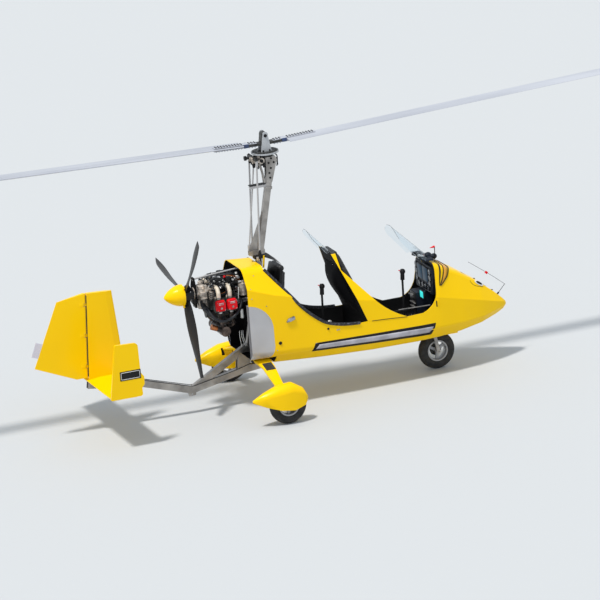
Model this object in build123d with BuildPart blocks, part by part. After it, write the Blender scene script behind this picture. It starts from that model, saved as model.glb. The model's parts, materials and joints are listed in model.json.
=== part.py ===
from build123d import *
import os
from math import atan2, cos, degrees, hypot, radians, sin, tan

os.makedirs("parts", exist_ok=True)

# The frame: +X forward, +Y left, +Z up, millimetres.
# The origin is on the ground under the rotor's axis.

# Driving dimensions
GAP = 0.3                   # room between curved pieces that seat on each other
RUNNING = 0.05              # radial room of a pin in its bore
HULL_WALL = 8.0
TUBE_WALL = 3.0
TANK_WALL = 5.0
ROTOR_DIAMETER = 8400.0
BLADE_CHORD = 200.0
BLADE_THICK = 24.0
BLADE_ROOT = 232.0
CONING = 2.2                # degrees each blade rises from the hub bar
TEETER_Z = 2770.0
UNDERSLING = 89.0           # from the teeter bolt down to the hub bar
HUB_BAR_Z = TEETER_Z - UNDERSLING
HEAD_PLATE_Z = TEETER_Z - 230
HUB_BAR_HALF = 250.0
HUB_BAR_WIDE = 76.0
HUB_BAR_THICK = 26.0
PROP_DIAMETER = 1720.0
PROP_X, PROP_Z = -974.0, 1262.0
SPINNER_RADIUS = 112.0
SPINNER_LENGTH = 240.0
WHEEL_RADIUS = 195.0
TYRE_WIDE = 100.0
RIM_RADIUS = 104.0
MAIN_WHEEL_X = -281.0
TRACK = 1712.0
NOSE_WHEEL_X = 1673.0
NOSE_AXIS_X = 1640.0
NOSE_STEER = 25.0           # degrees each way
AXLE_RADIUS = 12.0
STEM_RADIUS = 18.0
MAST_DEEP, MAST_WIDE = 60.0, 50.0
KEEL_DEEP, KEEL_WIDE = 70.0, 50.0
FIN_THICK = 44.0
RUDDER_GAP = 6.0
TAIL_HALF_SPAN = 780.0
COWL_REAR_X = -440.0

# The hull's outer sections, each symmetric about y = 0
# columns: x, belly z, belly half width, side z, side half width,
#          chine z, chine half width, top z, top half width, corner radius
HULL = [
    (COWL_REAR_X, 478, 235, 600, 372, 1300, 368, 1488, 240, 110),
    (-150, 452, 235, 580, 374, 1195, 372, 1470, 215, 100),
    (350, 418, 240, 560, 372, 1060, 366, 1400, 210, 90),
    (900, 392, 235, 540, 364, 950, 354, 1340, 220, 80),
    (1400, 382, 215, 530, 345, 872, 335, 1280, 240, 70),
    (1650, 384, 195, 525, 320, 836, 316, 1176, 240, 64),
    (1900, 398, 165, 520, 274, 765, 272, 1036, 172, 50),
    (2150, 432, 118, 522, 200, 688, 196, 866, 110, 34),
    (2330, 478, 66, 541, 118, 625, 114, 716, 62, 18),
    (2425, 512, 36, 551, 62, 593, 60, 626, 33, 10),
    (2464, 541, 14, 556, 24, 572, 23, 584, 12, 4),
]


def hull_points(row, top=None):
    """The eight corners of a hull section, starting at the right of the belly."""
    x, belly_z, belly, side_z, side, chine_z, chine, top_z, crown, corner = row
    if top:
        top_z, crown = top
    right = [(belly, belly_z), (side, side_z), (chine, chine_z), (crown, top_z)]
    return right + [(-y, z) for y, z in reversed(right)]


def hull_section(row, inset=0.0, top=None):
    """The face of one hull section, moved inwards by inset."""
    corner = row[9]
    radii = [corner, corner * 0.8, min(corner * 0.8, 22), corner * 1.2]
    with BuildSketch(Plane.YZ.offset(row[0])) as section:
        with BuildLine():
            FilletPolyline(*hull_points(row, top), radius=radii + radii[::-1], close=True)
        make_face()
        if inset:
            offset(amount=-inset, kind=Kind.INTERSECTION)
    return section.sketch.faces()[0]


def hull_loft(rows, inset=0.0, top=None, mode=Mode.ADD):
    """Adds the loft through some hull sections to the current part."""
    loft(sections=[hull_section(row, inset, top) for row in rows], ruled=True, mode=mode)


# Cockpit, in side view
RIM_TOP_X = -204.0          # where the open top starts, behind the mast
DASH_X = 1624.0             # where it ends, at the instrument panel
SILL_Z = 743.0
FLOOR_Z = 470.0
FLOOR_THICK = 8.0
BAY_Z = 548.0               # the flat underside over the landing gear's bow
BAY_FRONT_X = -170.0
WELL_LENGTH, WELL_WIDE, WELL_TOP_Z = 430.0, 300.0, 440.0
TANK_FRONT_X, TANK_BOTTOM_Z, TANK_TOP_Z = -195.0, 553.0, 1122.0
TANK_INNER_Y = 300.0
SEAM = 0.5

# Mast and frame
MAST_FOOT = (-358.0, 0.0, 560.0)
MAST_TOP = (58.0, 0.0, HEAD_PLATE_Z - 40)
MAST_SLOPE = (MAST_TOP[0] - MAST_FOOT[0]) / (MAST_TOP[2] - MAST_FOOT[2])
KEEL_FRONT = (-120.0, 0.0, 405.0)
KEEL_BEND = (-453.0, 0.0, 367.0)
KEEL_LOW = (-994.0, 0.0, 258.0)
BOOM_BEND = (-1516.0, 0.0, 425.0)
BOOM_END = (-2092.0, 0.0, 512.0)
STRUT_TOP = (-372.0, 0.0, 605.0)


def mast_x(z):
    """Where the mast's centre line is at height z."""
    return MAST_FOOT[0] + (z - MAST_FOOT[2]) * MAST_SLOPE


def outline(plane, *points):
    """The face of a polygon on a plane."""
    with BuildSketch(plane) as shape:
        with BuildLine():
            Polyline(*points, close=True)
        make_face()
    return shape.sketch


def side_slab(points, low_y, high_y, mode=Mode.ADD):
    """Extrudes an outline seen from the side from one y to another."""
    extrude(outline(Plane.XZ.offset(-low_y), *points), amount=low_y - high_y, mode=mode)


def add_box(low, high, mode=Mode.ADD):
    """Adds the box between two opposite corners."""
    size = [b - a for a, b in zip(low, high)]
    with Locations(tuple((a + b) / 2 for a, b in zip(low, high))):
        Box(*size, mode=mode)


def add_beam(start, end, wide, deep, mode=Mode.ADD):
    """Adds a bar of rectangular section; wide is measured along y."""
    run = Vector(*end) - Vector(*start)
    with BuildSketch(Plane(origin=start, x_dir=(0, 1, 0), z_dir=run)) as section:
        Rectangle(wide, deep)
    extrude(section.sketch, amount=run.length, mode=mode)


def add_rod(start, end, radius, mode=Mode.ADD):
    """Adds a round bar between two points."""
    run = Vector(*end) - Vector(*start)
    with BuildSketch(Plane(origin=start, z_dir=run)) as section:
        Circle(radius)
    extrude(section.sketch, amount=run.length, mode=mode)


def eased(points, bend):
    """A route whose corners are each cut off a bend's length before and after them."""
    route = [Vector(*points[0])]
    for before, corner, after in zip(points, points[1:], points[2:]):
        corner = Vector(*corner)
        for end in (before, after):
            run = Vector(*end) - corner
            route.append(corner + run.normalized() * min(bend, run.length * 0.45))
    return route + [Vector(*points[-1])]


def add_pipe(points, radius, bend, mode=Mode.ADD):
    """Adds a round pipe along straight runs with mitred bends."""
    with BuildLine() as route:
        Polyline(*eased(points, bend))
    with BuildSketch(Plane(origin=route.line @ 0, z_dir=route.line % 0)) as section:
        Circle(radius)
    sweep(section.sketch, path=route.line, transition=Transition.RIGHT, mode=mode)


def save(name, piece):
    """Labels a finished piece and writes it."""
    piece.part.label = name
    export_step(piece.part, f"parts/{name}.step")


def save_pair(name, piece):
    """Writes a left-hand piece and its mirror image as one node of two solids."""
    with BuildPart() as pair:
        add(piece.part)
        mirror(piece.part, about=Plane.XZ)
    save(name, pair)


# The hull as a solid, and the room inside it
with BuildPart() as hull_outer:
    hull_loft(HULL)
with BuildPart() as hull_inner:
    hull_loft(HULL[:-2], inset=HULL_WALL)

with BuildSketch(Plane.XZ) as cockpit_opening:
    with BuildLine():
        Polyline((RIM_TOP_X, 1700), (RIM_TOP_X, 1450), (60, 1105))
        ThreePointArc((60, 1105), (190, 955), (362, 817))
        ThreePointArc((362, 817), (575, 757), (824, SILL_Z))
        Polyline((824, SILL_Z), (1259, 713), (1445, 717))
        ThreePointArc((1445, 717), (1550, 780), (1607, 907))
        Polyline((1607, 907), (DASH_X, 1100), (DASH_X, 1700), (RIM_TOP_X, 1700))
    make_face()

with BuildSketch(Plane.XZ) as tank_side:
    with BuildLine():
        Polyline((TANK_FRONT_X, 700), (TANK_FRONT_X, 835))
        ThreePointArc((TANK_FRONT_X, 835), (-262, 1030), (-421, TANK_TOP_Z))
        Polyline((-421, TANK_TOP_Z), (COWL_REAR_X - 30, TANK_TOP_Z), (COWL_REAR_X - 30, TANK_BOTTOM_Z),
                 (-246, TANK_BOTTOM_Z))
        ThreePointArc((-246, TANK_BOTTOM_Z), (-207, 612), (TANK_FRONT_X, 700))
    make_face()

with BuildPart() as fuselage_tub:
    add(hull_outer.part)
    well_low = (NOSE_AXIS_X - WELL_LENGTH / 2, -WELL_WIDE / 2, 340)
    well_high = (NOSE_AXIS_X + WELL_LENGTH / 2, WELL_WIDE / 2, WELL_TOP_Z)
    add(hull_inner.part, mode=Mode.SUBTRACT)
    extrude(cockpit_opening.sketch, amount=600, both=True, mode=Mode.SUBTRACT)
    add_box((COWL_REAR_X - 50, -500, 300), (BAY_FRONT_X, 500, BAY_Z), mode=Mode.SUBTRACT)
    with BuildSketch(Plane.XZ) as tank_hole:
        add(tank_side.sketch)
        offset(amount=SEAM, kind=Kind.INTERSECTION)
    for side in (1, -1):
        with Locations((0, side * (TANK_INNER_Y + 100), 0)):
            add(extrude(tank_hole.sketch, amount=100, both=True, mode=Mode.PRIVATE), mode=Mode.SUBTRACT)
    add_box([v - HULL_WALL for v in well_low], [v + HULL_WALL for v in well_high])
    add_box(well_low, well_high, mode=Mode.SUBTRACT)
    add_box((well_low[0] - 20, -WELL_WIDE, 300), (well_high[0] + 20, WELL_WIDE, 383), mode=Mode.SUBTRACT)
    add_rod((NOSE_AXIS_X, 0, 400), (NOSE_AXIS_X, 0, 500), STEM_RADIUS + 5, mode=Mode.SUBTRACT)
save("fuselage_tub", fuselage_tub)

with BuildPart() as tank_room:
    with BuildSketch(Plane.XZ) as room_side:
        add(tank_side.sketch)
        offset(amount=-TANK_WALL, kind=Kind.INTERSECTION)
    with Locations((0, TANK_INNER_Y + TANK_WALL + 100, 0)):
        add(extrude(room_side.sketch, amount=100, both=True, mode=Mode.PRIVATE))
    add(hull_inner.part, mode=Mode.INTERSECT)
with BuildPart() as fuel_tank:
    with Locations((0, TANK_INNER_Y + 60, 0)):
        add(extrude(tank_side.sketch, amount=60, both=True, mode=Mode.PRIVATE))
    add(hull_outer.part, mode=Mode.INTERSECT)
    add(tank_room.part, mode=Mode.SUBTRACT)
save_pair("fuel_tanks", fuel_tank)

# Lamps on the hull's flanks, and the rods that stand on its nose
with BuildPart() as side_lamp:
    with BuildSketch(Plane.XZ.offset(-300)) as lamp_face:
        with BuildLine():
            FilletPolyline((-56, 893), (-34, 930), (38, 948), (40, 912), (-10, 896), radius=[3, 16, 8, 12, 10],
                           close=True)
        make_face()
    extrude(amount=-(390 - 300), taper=0)
    fillet(side_lamp.faces().sort_by(Axis.Y)[-1].edges(), 7)
    add(hull_outer.part, mode=Mode.SUBTRACT)
save_pair("side_lamps", side_lamp)

with BuildPart() as nose_rods:
    add_rod((2365, 0, 645), (2472, 0, 712), 6)
    add_rod((1732, 0, 1120), (1741, 0, 1291), 5)
    add(hull_outer.part, mode=Mode.SUBTRACT)
save("nose_rods", nose_rods)

# The yellow fairing beside the front seat's back, which carries on the hull's sides
FAIRING_TOP_Z, FAIRING_CROWN = 1520.0, 150.0
with BuildSketch(Plane.XZ) as fairing_side:
    with BuildLine():
        Polyline((826, SILL_Z + SEAM), (552, 1455), (598, 1455), (622, 1292), (909, 968))
        ThreePointArc((909, 968), (1050, 836), (1259, 713 + SEAM))
        Line((1259, 713 + SEAM), (826, SILL_Z + SEAM))
    make_face()
with BuildPart() as seat_fairing:
    hull_loft(HULL[2:5], top=(FAIRING_TOP_Z, FAIRING_CROWN))
    hull_loft(HULL[2:5], inset=HULL_WALL, top=(FAIRING_TOP_Z, FAIRING_CROWN), mode=Mode.SUBTRACT)
    extrude(fairing_side.sketch, amount=500, both=True, mode=Mode.INTERSECT)
save("seat_fairing", seat_fairing)

# Inside the hull
with BuildPart() as cockpit_floor:
    add_box((BAY_FRONT_X + 6, -400, FLOOR_Z), (1560, 400, FLOOR_Z + FLOOR_THICK))
    add(hull_inner.part, mode=Mode.INTERSECT)
save("cockpit_floor", cockpit_floor)

with BuildPart() as rear_bulkhead:
    front = MAST_DEEP / 2 + 12
    low, high = BAY_Z + 6, 1480
    side_slab([(mast_x(low) + front, low), (mast_x(high) + front, high),
               (mast_x(high) + front + 8, high), (mast_x(low) + front + 8, low)], -400, 400)
    for side in (1, -1):
        y = side * (TANK_INNER_Y + 100)
        add_box((-500, y - 100 - SEAM, 500), (0, y + 100 + SEAM, TANK_TOP_Z + 4), mode=Mode.SUBTRACT)
    add(hull_inner.part, mode=Mode.INTERSECT)
    extrude(cockpit_opening.sketch, amount=600, both=True, mode=Mode.SUBTRACT)
save("rear_bulkhead", rear_bulkhead)

with BuildPart() as gear_bay_floor:
    add_box((COWL_REAR_X, -400, BAY_Z), (BAY_FRONT_X, 400, BAY_Z + 6))
    add_box((BAY_FRONT_X, -400, FLOOR_Z), (BAY_FRONT_X + 6, 400, BAY_Z + 6))
    add(hull_inner.part, mode=Mode.INTERSECT)
    for side in (1, -1):
        add_box((-600, side * 350 - 51, 500), (-150, side * 350 + 51, 600), mode=Mode.SUBTRACT)
    add_box((COWL_REAR_X - 10, -MAST_WIDE / 2 - 5, 500), (-315, MAST_WIDE / 2 + 5, 600), mode=Mode.SUBTRACT)
save("gear_bay_floor", gear_bay_floor)

# Seats: a shell of two slabs, and its pads
SEAT_HALF = 215.0
REAR_BACK = [(-132, 600), (22, 1400)]
FRONT_BACK = [(921, 600), (592, 1455)]


def narrow_shoulders(half):
    """Cuts the seat in work down to its narrower shoulders."""
    shape = outline(Plane.YZ, (-half, 400), (half, 400), (half, 1150), (half * 0.7, 1460), (-half * 0.7, 1460),
                    (-half, 1150))
    extrude(shape, amount=2000, both=True, mode=Mode.INTERSECT)


def seat_shell(back, thick, pan_front, pan_z):
    """The back and pan of a seat, as one outline seen from the side."""
    (low_x, low_z), (high_x, high_z) = back
    return [(low_x - thick, FLOOR_Z + FLOOR_THICK), (low_x - thick, low_z), (high_x - thick, high_z),
            (high_x, high_z), (low_x, low_z), (pan_front, pan_z), (pan_front + 30, pan_z - 14),
            (pan_front + 10, FLOOR_Z + FLOOR_THICK)]


with BuildPart() as rear_seat:
    side_slab(seat_shell(REAR_BACK, 24, 330, 640), -SEAT_HALF, SEAT_HALF)
    with BuildSketch(Plane.XZ) as hollow:
        with BuildLine():
            Polyline((-128, FLOOR_Z), (-120, 570), (310, 605), (320, FLOOR_Z), close=True)
        make_face()
    extrude(hollow.sketch, amount=SEAT_HALF - 20, both=True, mode=Mode.SUBTRACT)
    narrow_shoulders(SEAT_HALF)

with BuildPart() as front_seat:
    side_slab(seat_shell(FRONT_BACK, 24, 1280, 620), -SEAT_HALF, SEAT_HALF)
    with BuildSketch(Plane.XZ) as hollow:
        with BuildLine():
            Polyline((925, FLOOR_Z), (935, 570), (1255, 590), (1265, FLOOR_Z), close=True)
        make_face()
    extrude(hollow.sketch, amount=SEAT_HALF - 20, both=True, mode=Mode.SUBTRACT)
    narrow_shoulders(SEAT_HALF)
with BuildPart() as seats:
    add(rear_seat.part)
    add(front_seat.part)
save("seats", seats)


def seat_pads(back, pan_front, pan_z):
    """The back and pan cushions of a seat, 0.5 mm off its shell."""
    (low_x, low_z), (high_x, high_z) = back
    lean = Vector(high_x - low_x, high_z - low_z).normalized()
    front = Vector(lean.Y, -lean.X)
    for start, end, along in ((90, 0.99, True), (40, 0.0, False)):
        if along:
            a = Vector(low_x, low_z) + lean * start + front * SEAM
            b = Vector(high_x, high_z) - lean * 30 + front * SEAM
            corners = [a, a + front * 55, b + front * 40, b]
        else:
            pan = (Vector(pan_front, pan_z) - Vector(low_x, low_z)).normalized()
            up = Vector(-pan.Y, pan.X)
            a = Vector(low_x, low_z) + pan * start + up * SEAM
            b = Vector(pan_front, pan_z) - pan * 10 + up * SEAM
            corners = [a, a + up * 60, b + up * 50, b]
        side_slab([(c.X, c.Y) for c in corners], -SEAT_HALF + 15, SEAT_HALF - 15)


with BuildPart() as cushions:
    seat_pads(REAR_BACK, 330, 640)
    seat_pads(FRONT_BACK, 1280, 620)
    narrow_shoulders(SEAT_HALF - 15)
save("seat_pads", cushions)

# The black panel behind the front seat, between the fairing's sides
with BuildPart() as seat_back_panel:
    hull_loft(HULL[2:5], inset=HULL_WALL + GAP, top=(FAIRING_TOP_Z, FAIRING_CROWN))
    with BuildSketch(Plane.XZ) as panel_side:
        with BuildLine():
            Polyline((552, 1455), (566, 1455), (838, SILL_Z + 4), (838, FLOOR_Z + FLOOR_THICK),
                     (818, FLOOR_Z + FLOOR_THICK), (818, SILL_Z + 4), close=True)
        make_face()
    extrude(panel_side.sketch, amount=500, both=True, mode=Mode.INTERSECT)
save("seat_back_panel", seat_back_panel)

# Instrument panel with its console and the glare shield over it
with BuildPart() as instrument_panel:
    add_box((DASH_X + 3, -400, 850), (DASH_X + 25, 400, 1300))
    add(hull_inner.part, mode=Mode.INTERSECT)
    add_box((1470, -85, FLOOR_Z + FLOOR_THICK), (1555, 85, 860))
    add_box((1470, -85, 600), (DASH_X + 25, 85, 860))
    with BuildSketch(Plane.YZ.offset(DASH_X + 3)) as face:
        with BuildLine():
            Polyline((-225, 850), (-245, 1030), (-200, 1140), (200, 1140), (245, 1030), (225, 850),
                     close=True)
        make_face()
    extrude(face.sketch, amount=-28)
save("instrument_panel", instrument_panel)

HOOD_LENGTH = 110.0
HOOD_THICK = 5.0


def hood_face(grow):
    """The glare shield's arch as a filled face, grown outwards."""
    with BuildSketch(Plane.YZ.offset(DASH_X - HOOD_LENGTH)) as arch:
        with BuildLine():
            FilletPolyline((-284, 1000), (-278, 1060), (-210, 1217), (210, 1217), (278, 1060), (284, 1000),
                           radius=[1, 40, 60, 60, 40, 1], close=True)
        make_face()
        if grow:
            offset(amount=grow, kind=Kind.INTERSECTION)
    return arch.sketch


with BuildPart() as glare_shield:
    extrude(hood_face(HOOD_THICK), amount=HOOD_LENGTH + 24)
    extrude(hood_face(0), amount=HOOD_LENGTH + 24, mode=Mode.SUBTRACT)
    add_box((1400, -400, 900), (1800, 400, 1006), mode=Mode.SUBTRACT)
    add(hull_outer.part, mode=Mode.SUBTRACT)
save("glare_shield", glare_shield)

# Sticks, pedals and the lever at the left of the front seat
with BuildPart() as cockpit_controls:
    for x in (1352, 470):
        add_box((x - 24, -24, FLOOR_Z + FLOOR_THICK), (x + 24, 24, FLOOR_Z + 40))
        add_rod((x, 0, FLOOR_Z + 25), (x + 12, 0, 1010), 11)
        add_rod((x + 12, 0, 1005), (x + 18, 0, 1110), 19)
    for y in (-130, 130):
        add_box((1500, y - 35, FLOOR_Z + FLOOR_THICK), (1516, y + 35, FLOOR_Z + 150))
    add_rod((980, -275, FLOOR_Z + FLOOR_THICK), (980, -275, 770), 9)
    add_rod((900, -275, 765), (1300, -275, 765), 9)
save("cockpit_controls", cockpit_controls)

# Windscreens: curved sheets leaning back, cut to a rounded outline
SCREEN_THICK = 3.0


def add_screen(base, top, half_wide, bulge, corner):
    """Adds a sheet bowed across its width, from its base to its rounded top."""
    (base_x, base_z), (top_x, top_z) = base, top
    run = Vector(top_x - base_x, 0, top_z - base_z)
    plane = Plane(origin=(base_x, 0, base_z), x_dir=(0, 1, 0), z_dir=run)
    with BuildSketch(plane) as bow:
        with BuildLine():
            arc = ThreePointArc((-half_wide, bulge), (0, 0), (half_wide, bulge))
            inner = ThreePointArc((-half_wide, bulge + SCREEN_THICK), (0, SCREEN_THICK),
                                  (half_wide, bulge + SCREEN_THICK))
            Line(arc @ 0, inner @ 0)
            Line(arc @ 1, inner @ 1)
        make_face()
    extrude(bow.sketch, amount=run.length)
    face = Plane(origin=((base_x + top_x) / 2, 0, (base_z + top_z) / 2), x_dir=(0, 1, 0),
                 z_dir=plane.y_dir)
    with BuildSketch(face) as shape:
        with BuildLine():
            low, high = -run.length / 2, run.length / 2
            up = 1 if (face.y_dir.Z > 0) else -1
            FilletPolyline((-half_wide, up * low), (half_wide, up * low),
                           (half_wide * 0.8, up * high), (-half_wide * 0.8, up * high),
                           radius=[1, 1, corner, corner], close=True)
        make_face()
    extrude(shape.sketch, amount=300, both=True, mode=Mode.INTERSECT)


with BuildPart() as front_screen:
    add_screen((1690, 1172), (1276, 1591), 250, 110, 170)
    extrude(hood_face(HOOD_THICK + GAP), amount=HOOD_LENGTH + 24, mode=Mode.SUBTRACT)
    add(hull_outer.part, mode=Mode.SUBTRACT)
    add_box((1400, -400, 900), (1800, 400, 1080), mode=Mode.SUBTRACT)
with BuildPart() as rear_screen:
    add_screen((606, 1436), (359, 1710), 150, 50, 110)
    add_box((300, -300, 1200), (900, 300, 1455 + GAP), mode=Mode.SUBTRACT)
with BuildPart() as windscreens:
    add(front_screen.part)
    add(rear_screen.part)
save("windscreens", windscreens)

# Welded square-tube frame: keel, tail boom, upper strut and the tie-down lug under them
TIE_X, TIE_Z, TIE_BORE = -994.0, 212.0, 8.0


def frame_tubes(wall, mode=Mode.ADD):
    """Adds the frame's tubes, or cuts the room inside their walls."""
    wide, deep = KEEL_WIDE - 2 * wall, KEEL_DEEP - 2 * wall
    for start, end in ((KEEL_FRONT, KEEL_BEND), (KEEL_BEND, KEEL_LOW), (KEEL_LOW, BOOM_BEND),
                       (BOOM_BEND, BOOM_END), (KEEL_LOW, STRUT_TOP)):
        add_beam(start, end, wide, deep, mode=mode)
    for joint in (KEEL_BEND, KEEL_LOW, BOOM_BEND):
        with Locations(Plane(origin=joint, z_dir=(0, 1, 0))):
            Cylinder(deep / 2, wide, mode=mode)


with BuildPart() as keel_frame:
    frame_tubes(0)
    for side in (1, -1):
        inner, outer = sorted((side * KEEL_WIDE / 2, side * (KEEL_WIDE / 2 + 4)))
        side_slab([(-489, 500), (-440, 585), (-352, 585), (-352, 398), (-500, 372)], inner, outer)
    side_slab([(-1850, 480), (-2070, 513), (-2070, 552.4), (-1960, 539.7), (-1850, 537.4)], -20, 20)
    side_slab([(-1050, 262), (-938, 262), (-960, 196), (-1028, 196)], -6, 6)
    frame_tubes(TUBE_WALL, mode=Mode.SUBTRACT)
    add_rod((TIE_X, -20, TIE_Z), (TIE_X, 20, TIE_Z), TIE_BORE, mode=Mode.SUBTRACT)
save("keel_frame", keel_frame)

with BuildPart() as mast:
    add_beam(MAST_FOOT, MAST_TOP, MAST_WIDE, MAST_DEEP)
    add_beam(MAST_FOOT, MAST_TOP, MAST_WIDE - 2 * TUBE_WALL, MAST_DEEP - 2 * TUBE_WALL, mode=Mode.SUBTRACT)
    add_beam(KEEL_LOW, STRUT_TOP, KEEL_WIDE + 10, KEEL_DEEP, mode=Mode.SUBTRACT)
    web = [(mast_x(z) - MAST_DEEP / 2 + 2, z) for z in (1585, 2000)]
    side_slab([web[0], (-262, 1600), web[1]], -2, 2)
    side_slab([(-262, 1545), (-95, 1545), (-95, 1592), (-262, 1592)], -24, 24)
    for side in (1, -1):
        inner, outer = sorted((side * MAST_WIDE / 2, side * (MAST_WIDE / 2 + 4)))
        top = MAST_TOP[2]
        side_slab([(-18, top - 225), (44, top - 225), (112, top), (96, HEAD_PLATE_Z), (-10, HEAD_PLATE_Z),
                   (-8, top - 50)], inner, outer)
save("mast", mast)

# Rotor head: the block between the mast's cheeks, its gimbal and the control yoke
HEAD_TOP_Z = HEAD_PLATE_Z + 32
ROD_Y = 110.0
SPINDLE_RADIUS = 19.0
with BuildPart() as rotor_head:
    add_box((-8, -MAST_WIDE / 2, HEAD_PLATE_Z - 32), (92, MAST_WIDE / 2, HEAD_PLATE_Z))
    add_box((-52, -44, HEAD_PLATE_Z), (60, 44, HEAD_TOP_Z))
    add_box((-210, -16, HEAD_PLATE_Z + 5), (-52, 16, HEAD_PLATE_Z + 29))
    add_box((-150, -ROD_Y - 14, HEAD_PLATE_Z), (-120, ROD_Y + 14, HEAD_PLATE_Z + 22))
    with Locations((0, 0, HEAD_TOP_Z + 4)):
        Cylinder(50, 8)
    with Locations((0, 0, HEAD_TOP_Z + 28)):
        Cylinder(SPINDLE_RADIUS, 60)
save("rotor_head", rotor_head)

with BuildPart() as control_rods:
    for side in (1, -1):
        y = side * ROD_Y
        add_rod((-135, y, HEAD_PLATE_Z - 1), (-186, y, 1500), 9)
        add_rod((-181, y, 1600), (-186, y, 1500), 13)
        add_rod((-133, y, HEAD_PLATE_Z - 1), (-137, y, HEAD_PLATE_Z - 60), 13)
    add_box((-199, -ROD_Y - 13, 1500), (-165, -MAST_WIDE / 2, 1526))
    add_box((-199, MAST_WIDE / 2, 1500), (-165, ROD_Y + 13, 1526))
save("control_rods", control_rods)

# Prerotator: its shaft up the back of the mast, the bracket that steadies it and the head's link
SHAFT_Y = 16.0
BRACKET_LOW_Z, BRACKET_HIGH_Z = 2236.0, 2262.0
with BuildPart() as prerotator:
    add_rod((-124, SHAFT_Y, HEAD_PLATE_Z - 72), (-124, SHAFT_Y, HEAD_PLATE_Z - GAP), 15)
    add_rod((-124, SHAFT_Y, HEAD_PLATE_Z - 60), (-248, SHAFT_Y, 1610), 8)
    add_rod((-248, SHAFT_Y, 1592 + GAP), (-248, SHAFT_Y, 1650), 14)
    mast_back = MAST_DEEP / 2 / cos(atan2(MAST_SLOPE, 1)) + GAP
    side_slab([(-192, BRACKET_HIGH_Z), (-192, BRACKET_LOW_Z), (mast_x(BRACKET_LOW_Z) - mast_back, BRACKET_LOW_Z),
               (mast_x(BRACKET_HIGH_Z) - mast_back, BRACKET_HIGH_Z)], -28, 28)
    add_rod((-41, 0, BRACKET_HIGH_Z - 2), (-64, 0, HEAD_PLATE_Z + 4), 7)
save("prerotator", prerotator)

# Turning tower on the head's spindle: toothed gear disc, two cheeks and the teeter bolt
RING_TEETH, RING_RADIUS = 48, 141.0
TOWER_GAP = 6.0
TOWER_HALF = HUB_BAR_WIDE / 2 + TOWER_GAP
TOWER_LOW_Z = HEAD_TOP_Z + 8 + 6
TEETER_BOLT = 10.0
with BuildPart() as rotor_tower:
    with BuildSketch(Plane.XY.offset(TOWER_LOW_Z)) as ring_gear:
        Circle(RING_RADIUS)
        with PolarLocations(RING_RADIUS, RING_TEETH):
            Rectangle(14, 8, mode=Mode.SUBTRACT)
    extrude(amount=16)
    for side in (1, -1):
        y = side * (TOWER_HALF + 6)
        with BuildSketch(Plane.XZ.offset(-y)) as cheek:
            with BuildLine():
                FilletPolyline((-56, TOWER_LOW_Z + 14), (56, TOWER_LOW_Z + 14), (22, TEETER_Z + 36),
                               (-22, TEETER_Z + 36), radius=[1, 1, 18, 18], close=True)
            make_face()
        extrude(cheek.sketch, amount=6, both=True)
    with Locations(Plane(origin=(0, 0, TEETER_Z), z_dir=(0, 1, 0))):
        Cylinder(TEETER_BOLT, 2 * TOWER_HALF + 44)
    add_rod((0, 0, TOWER_LOW_Z - 10), (0, 0, TOWER_LOW_Z + 30), SPINDLE_RADIUS + RUNNING, mode=Mode.SUBTRACT)
save("rotor_tower", rotor_tower)

# Rotor: hub bar and two blades, both rising outwards along the cone
HUB_ARM = BLADE_ROOT - SEAM
CLAMP_END = 545.0


def blade_z(reach):
    """The height of the blades' middle at some distance from the axis."""
    return HUB_BAR_Z + reach * tan(radians(CONING))


with BuildPart() as rotor_hub_bar:
    half = HUB_BAR_THICK / 2
    side_slab([(-HUB_ARM, blade_z(HUB_ARM) + half), (0, HUB_BAR_Z + half), (HUB_ARM, blade_z(HUB_ARM) + half),
               (HUB_ARM, blade_z(HUB_ARM) - half), (0, HUB_BAR_Z - half), (-HUB_ARM, blade_z(HUB_ARM) - half)],
              -HUB_BAR_WIDE / 2, HUB_BAR_WIDE / 2)
    add_box((-34, -HUB_BAR_WIDE / 2, HUB_BAR_Z), (34, HUB_BAR_WIDE / 2, TEETER_Z + 26))
    fillet(rotor_hub_bar.edges().filter_by(Axis.Y).group_by(Axis.Z)[-1], 20)
    with Locations(Plane(origin=(0, 0, TEETER_Z), z_dir=(0, 1, 0))):
        Cylinder(TEETER_BOLT + RUNNING, 200, mode=Mode.SUBTRACT)
save("rotor_hub_bar", rotor_hub_bar)


def add_blade(side):
    """Adds a blade: side 1 points forward, -1 back."""
    rise = radians(CONING)
    span = ROTOR_DIAMETER / 2 - BLADE_ROOT
    start = (side * BLADE_ROOT, 0, blade_z(BLADE_ROOT))
    plane = Plane(origin=start, x_dir=(0, side, 0), z_dir=(side * cos(rise), 0, sin(rise)))
    quarter = BLADE_CHORD / 4
    with BuildSketch(plane) as airfoil:
        with BuildLine():
            up = 1 if plane.y_dir.Z > 0 else -1
            nose = ThreePointArc((quarter - 7, up * 7), (quarter, 0), (quarter - 7, -up * 6.5))
            Polyline(nose @ 1, (quarter * 0.2, -up * BLADE_THICK * 0.45),
                     (-quarter * 1.2, -up * BLADE_THICK * 0.3), (-3 * quarter, -up * 1.2),
                     (-3 * quarter, up * 1.2), (-quarter * 1.2, up * BLADE_THICK * 0.38),
                     (quarter * 0.2, up * BLADE_THICK * 0.53), nose @ 0)
        make_face()
    extrude(airfoil.sketch, amount=span)


with BuildPart() as rotor_blades:
    add_blade(1)
    add_blade(-1)
save("rotor_blades", rotor_blades)

# Root clamps: a plate under and over each blade root and the hub bar's arm
CLAMP_OFF = HUB_BAR_THICK / 2 + GAP + 0.1
with BuildPart() as blade_clamps:
    for side in (1, -1):
        for up in (1, -1):
            near, far = [(side * x, blade_z(x) + up * CLAMP_OFF) for x in (90, CLAMP_END)]
            side_slab([near, far, (far[0], far[1] + up * 6), (near[0], near[1] + up * 6)], -34, 34)
save("blade_clamps", blade_clamps)

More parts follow.
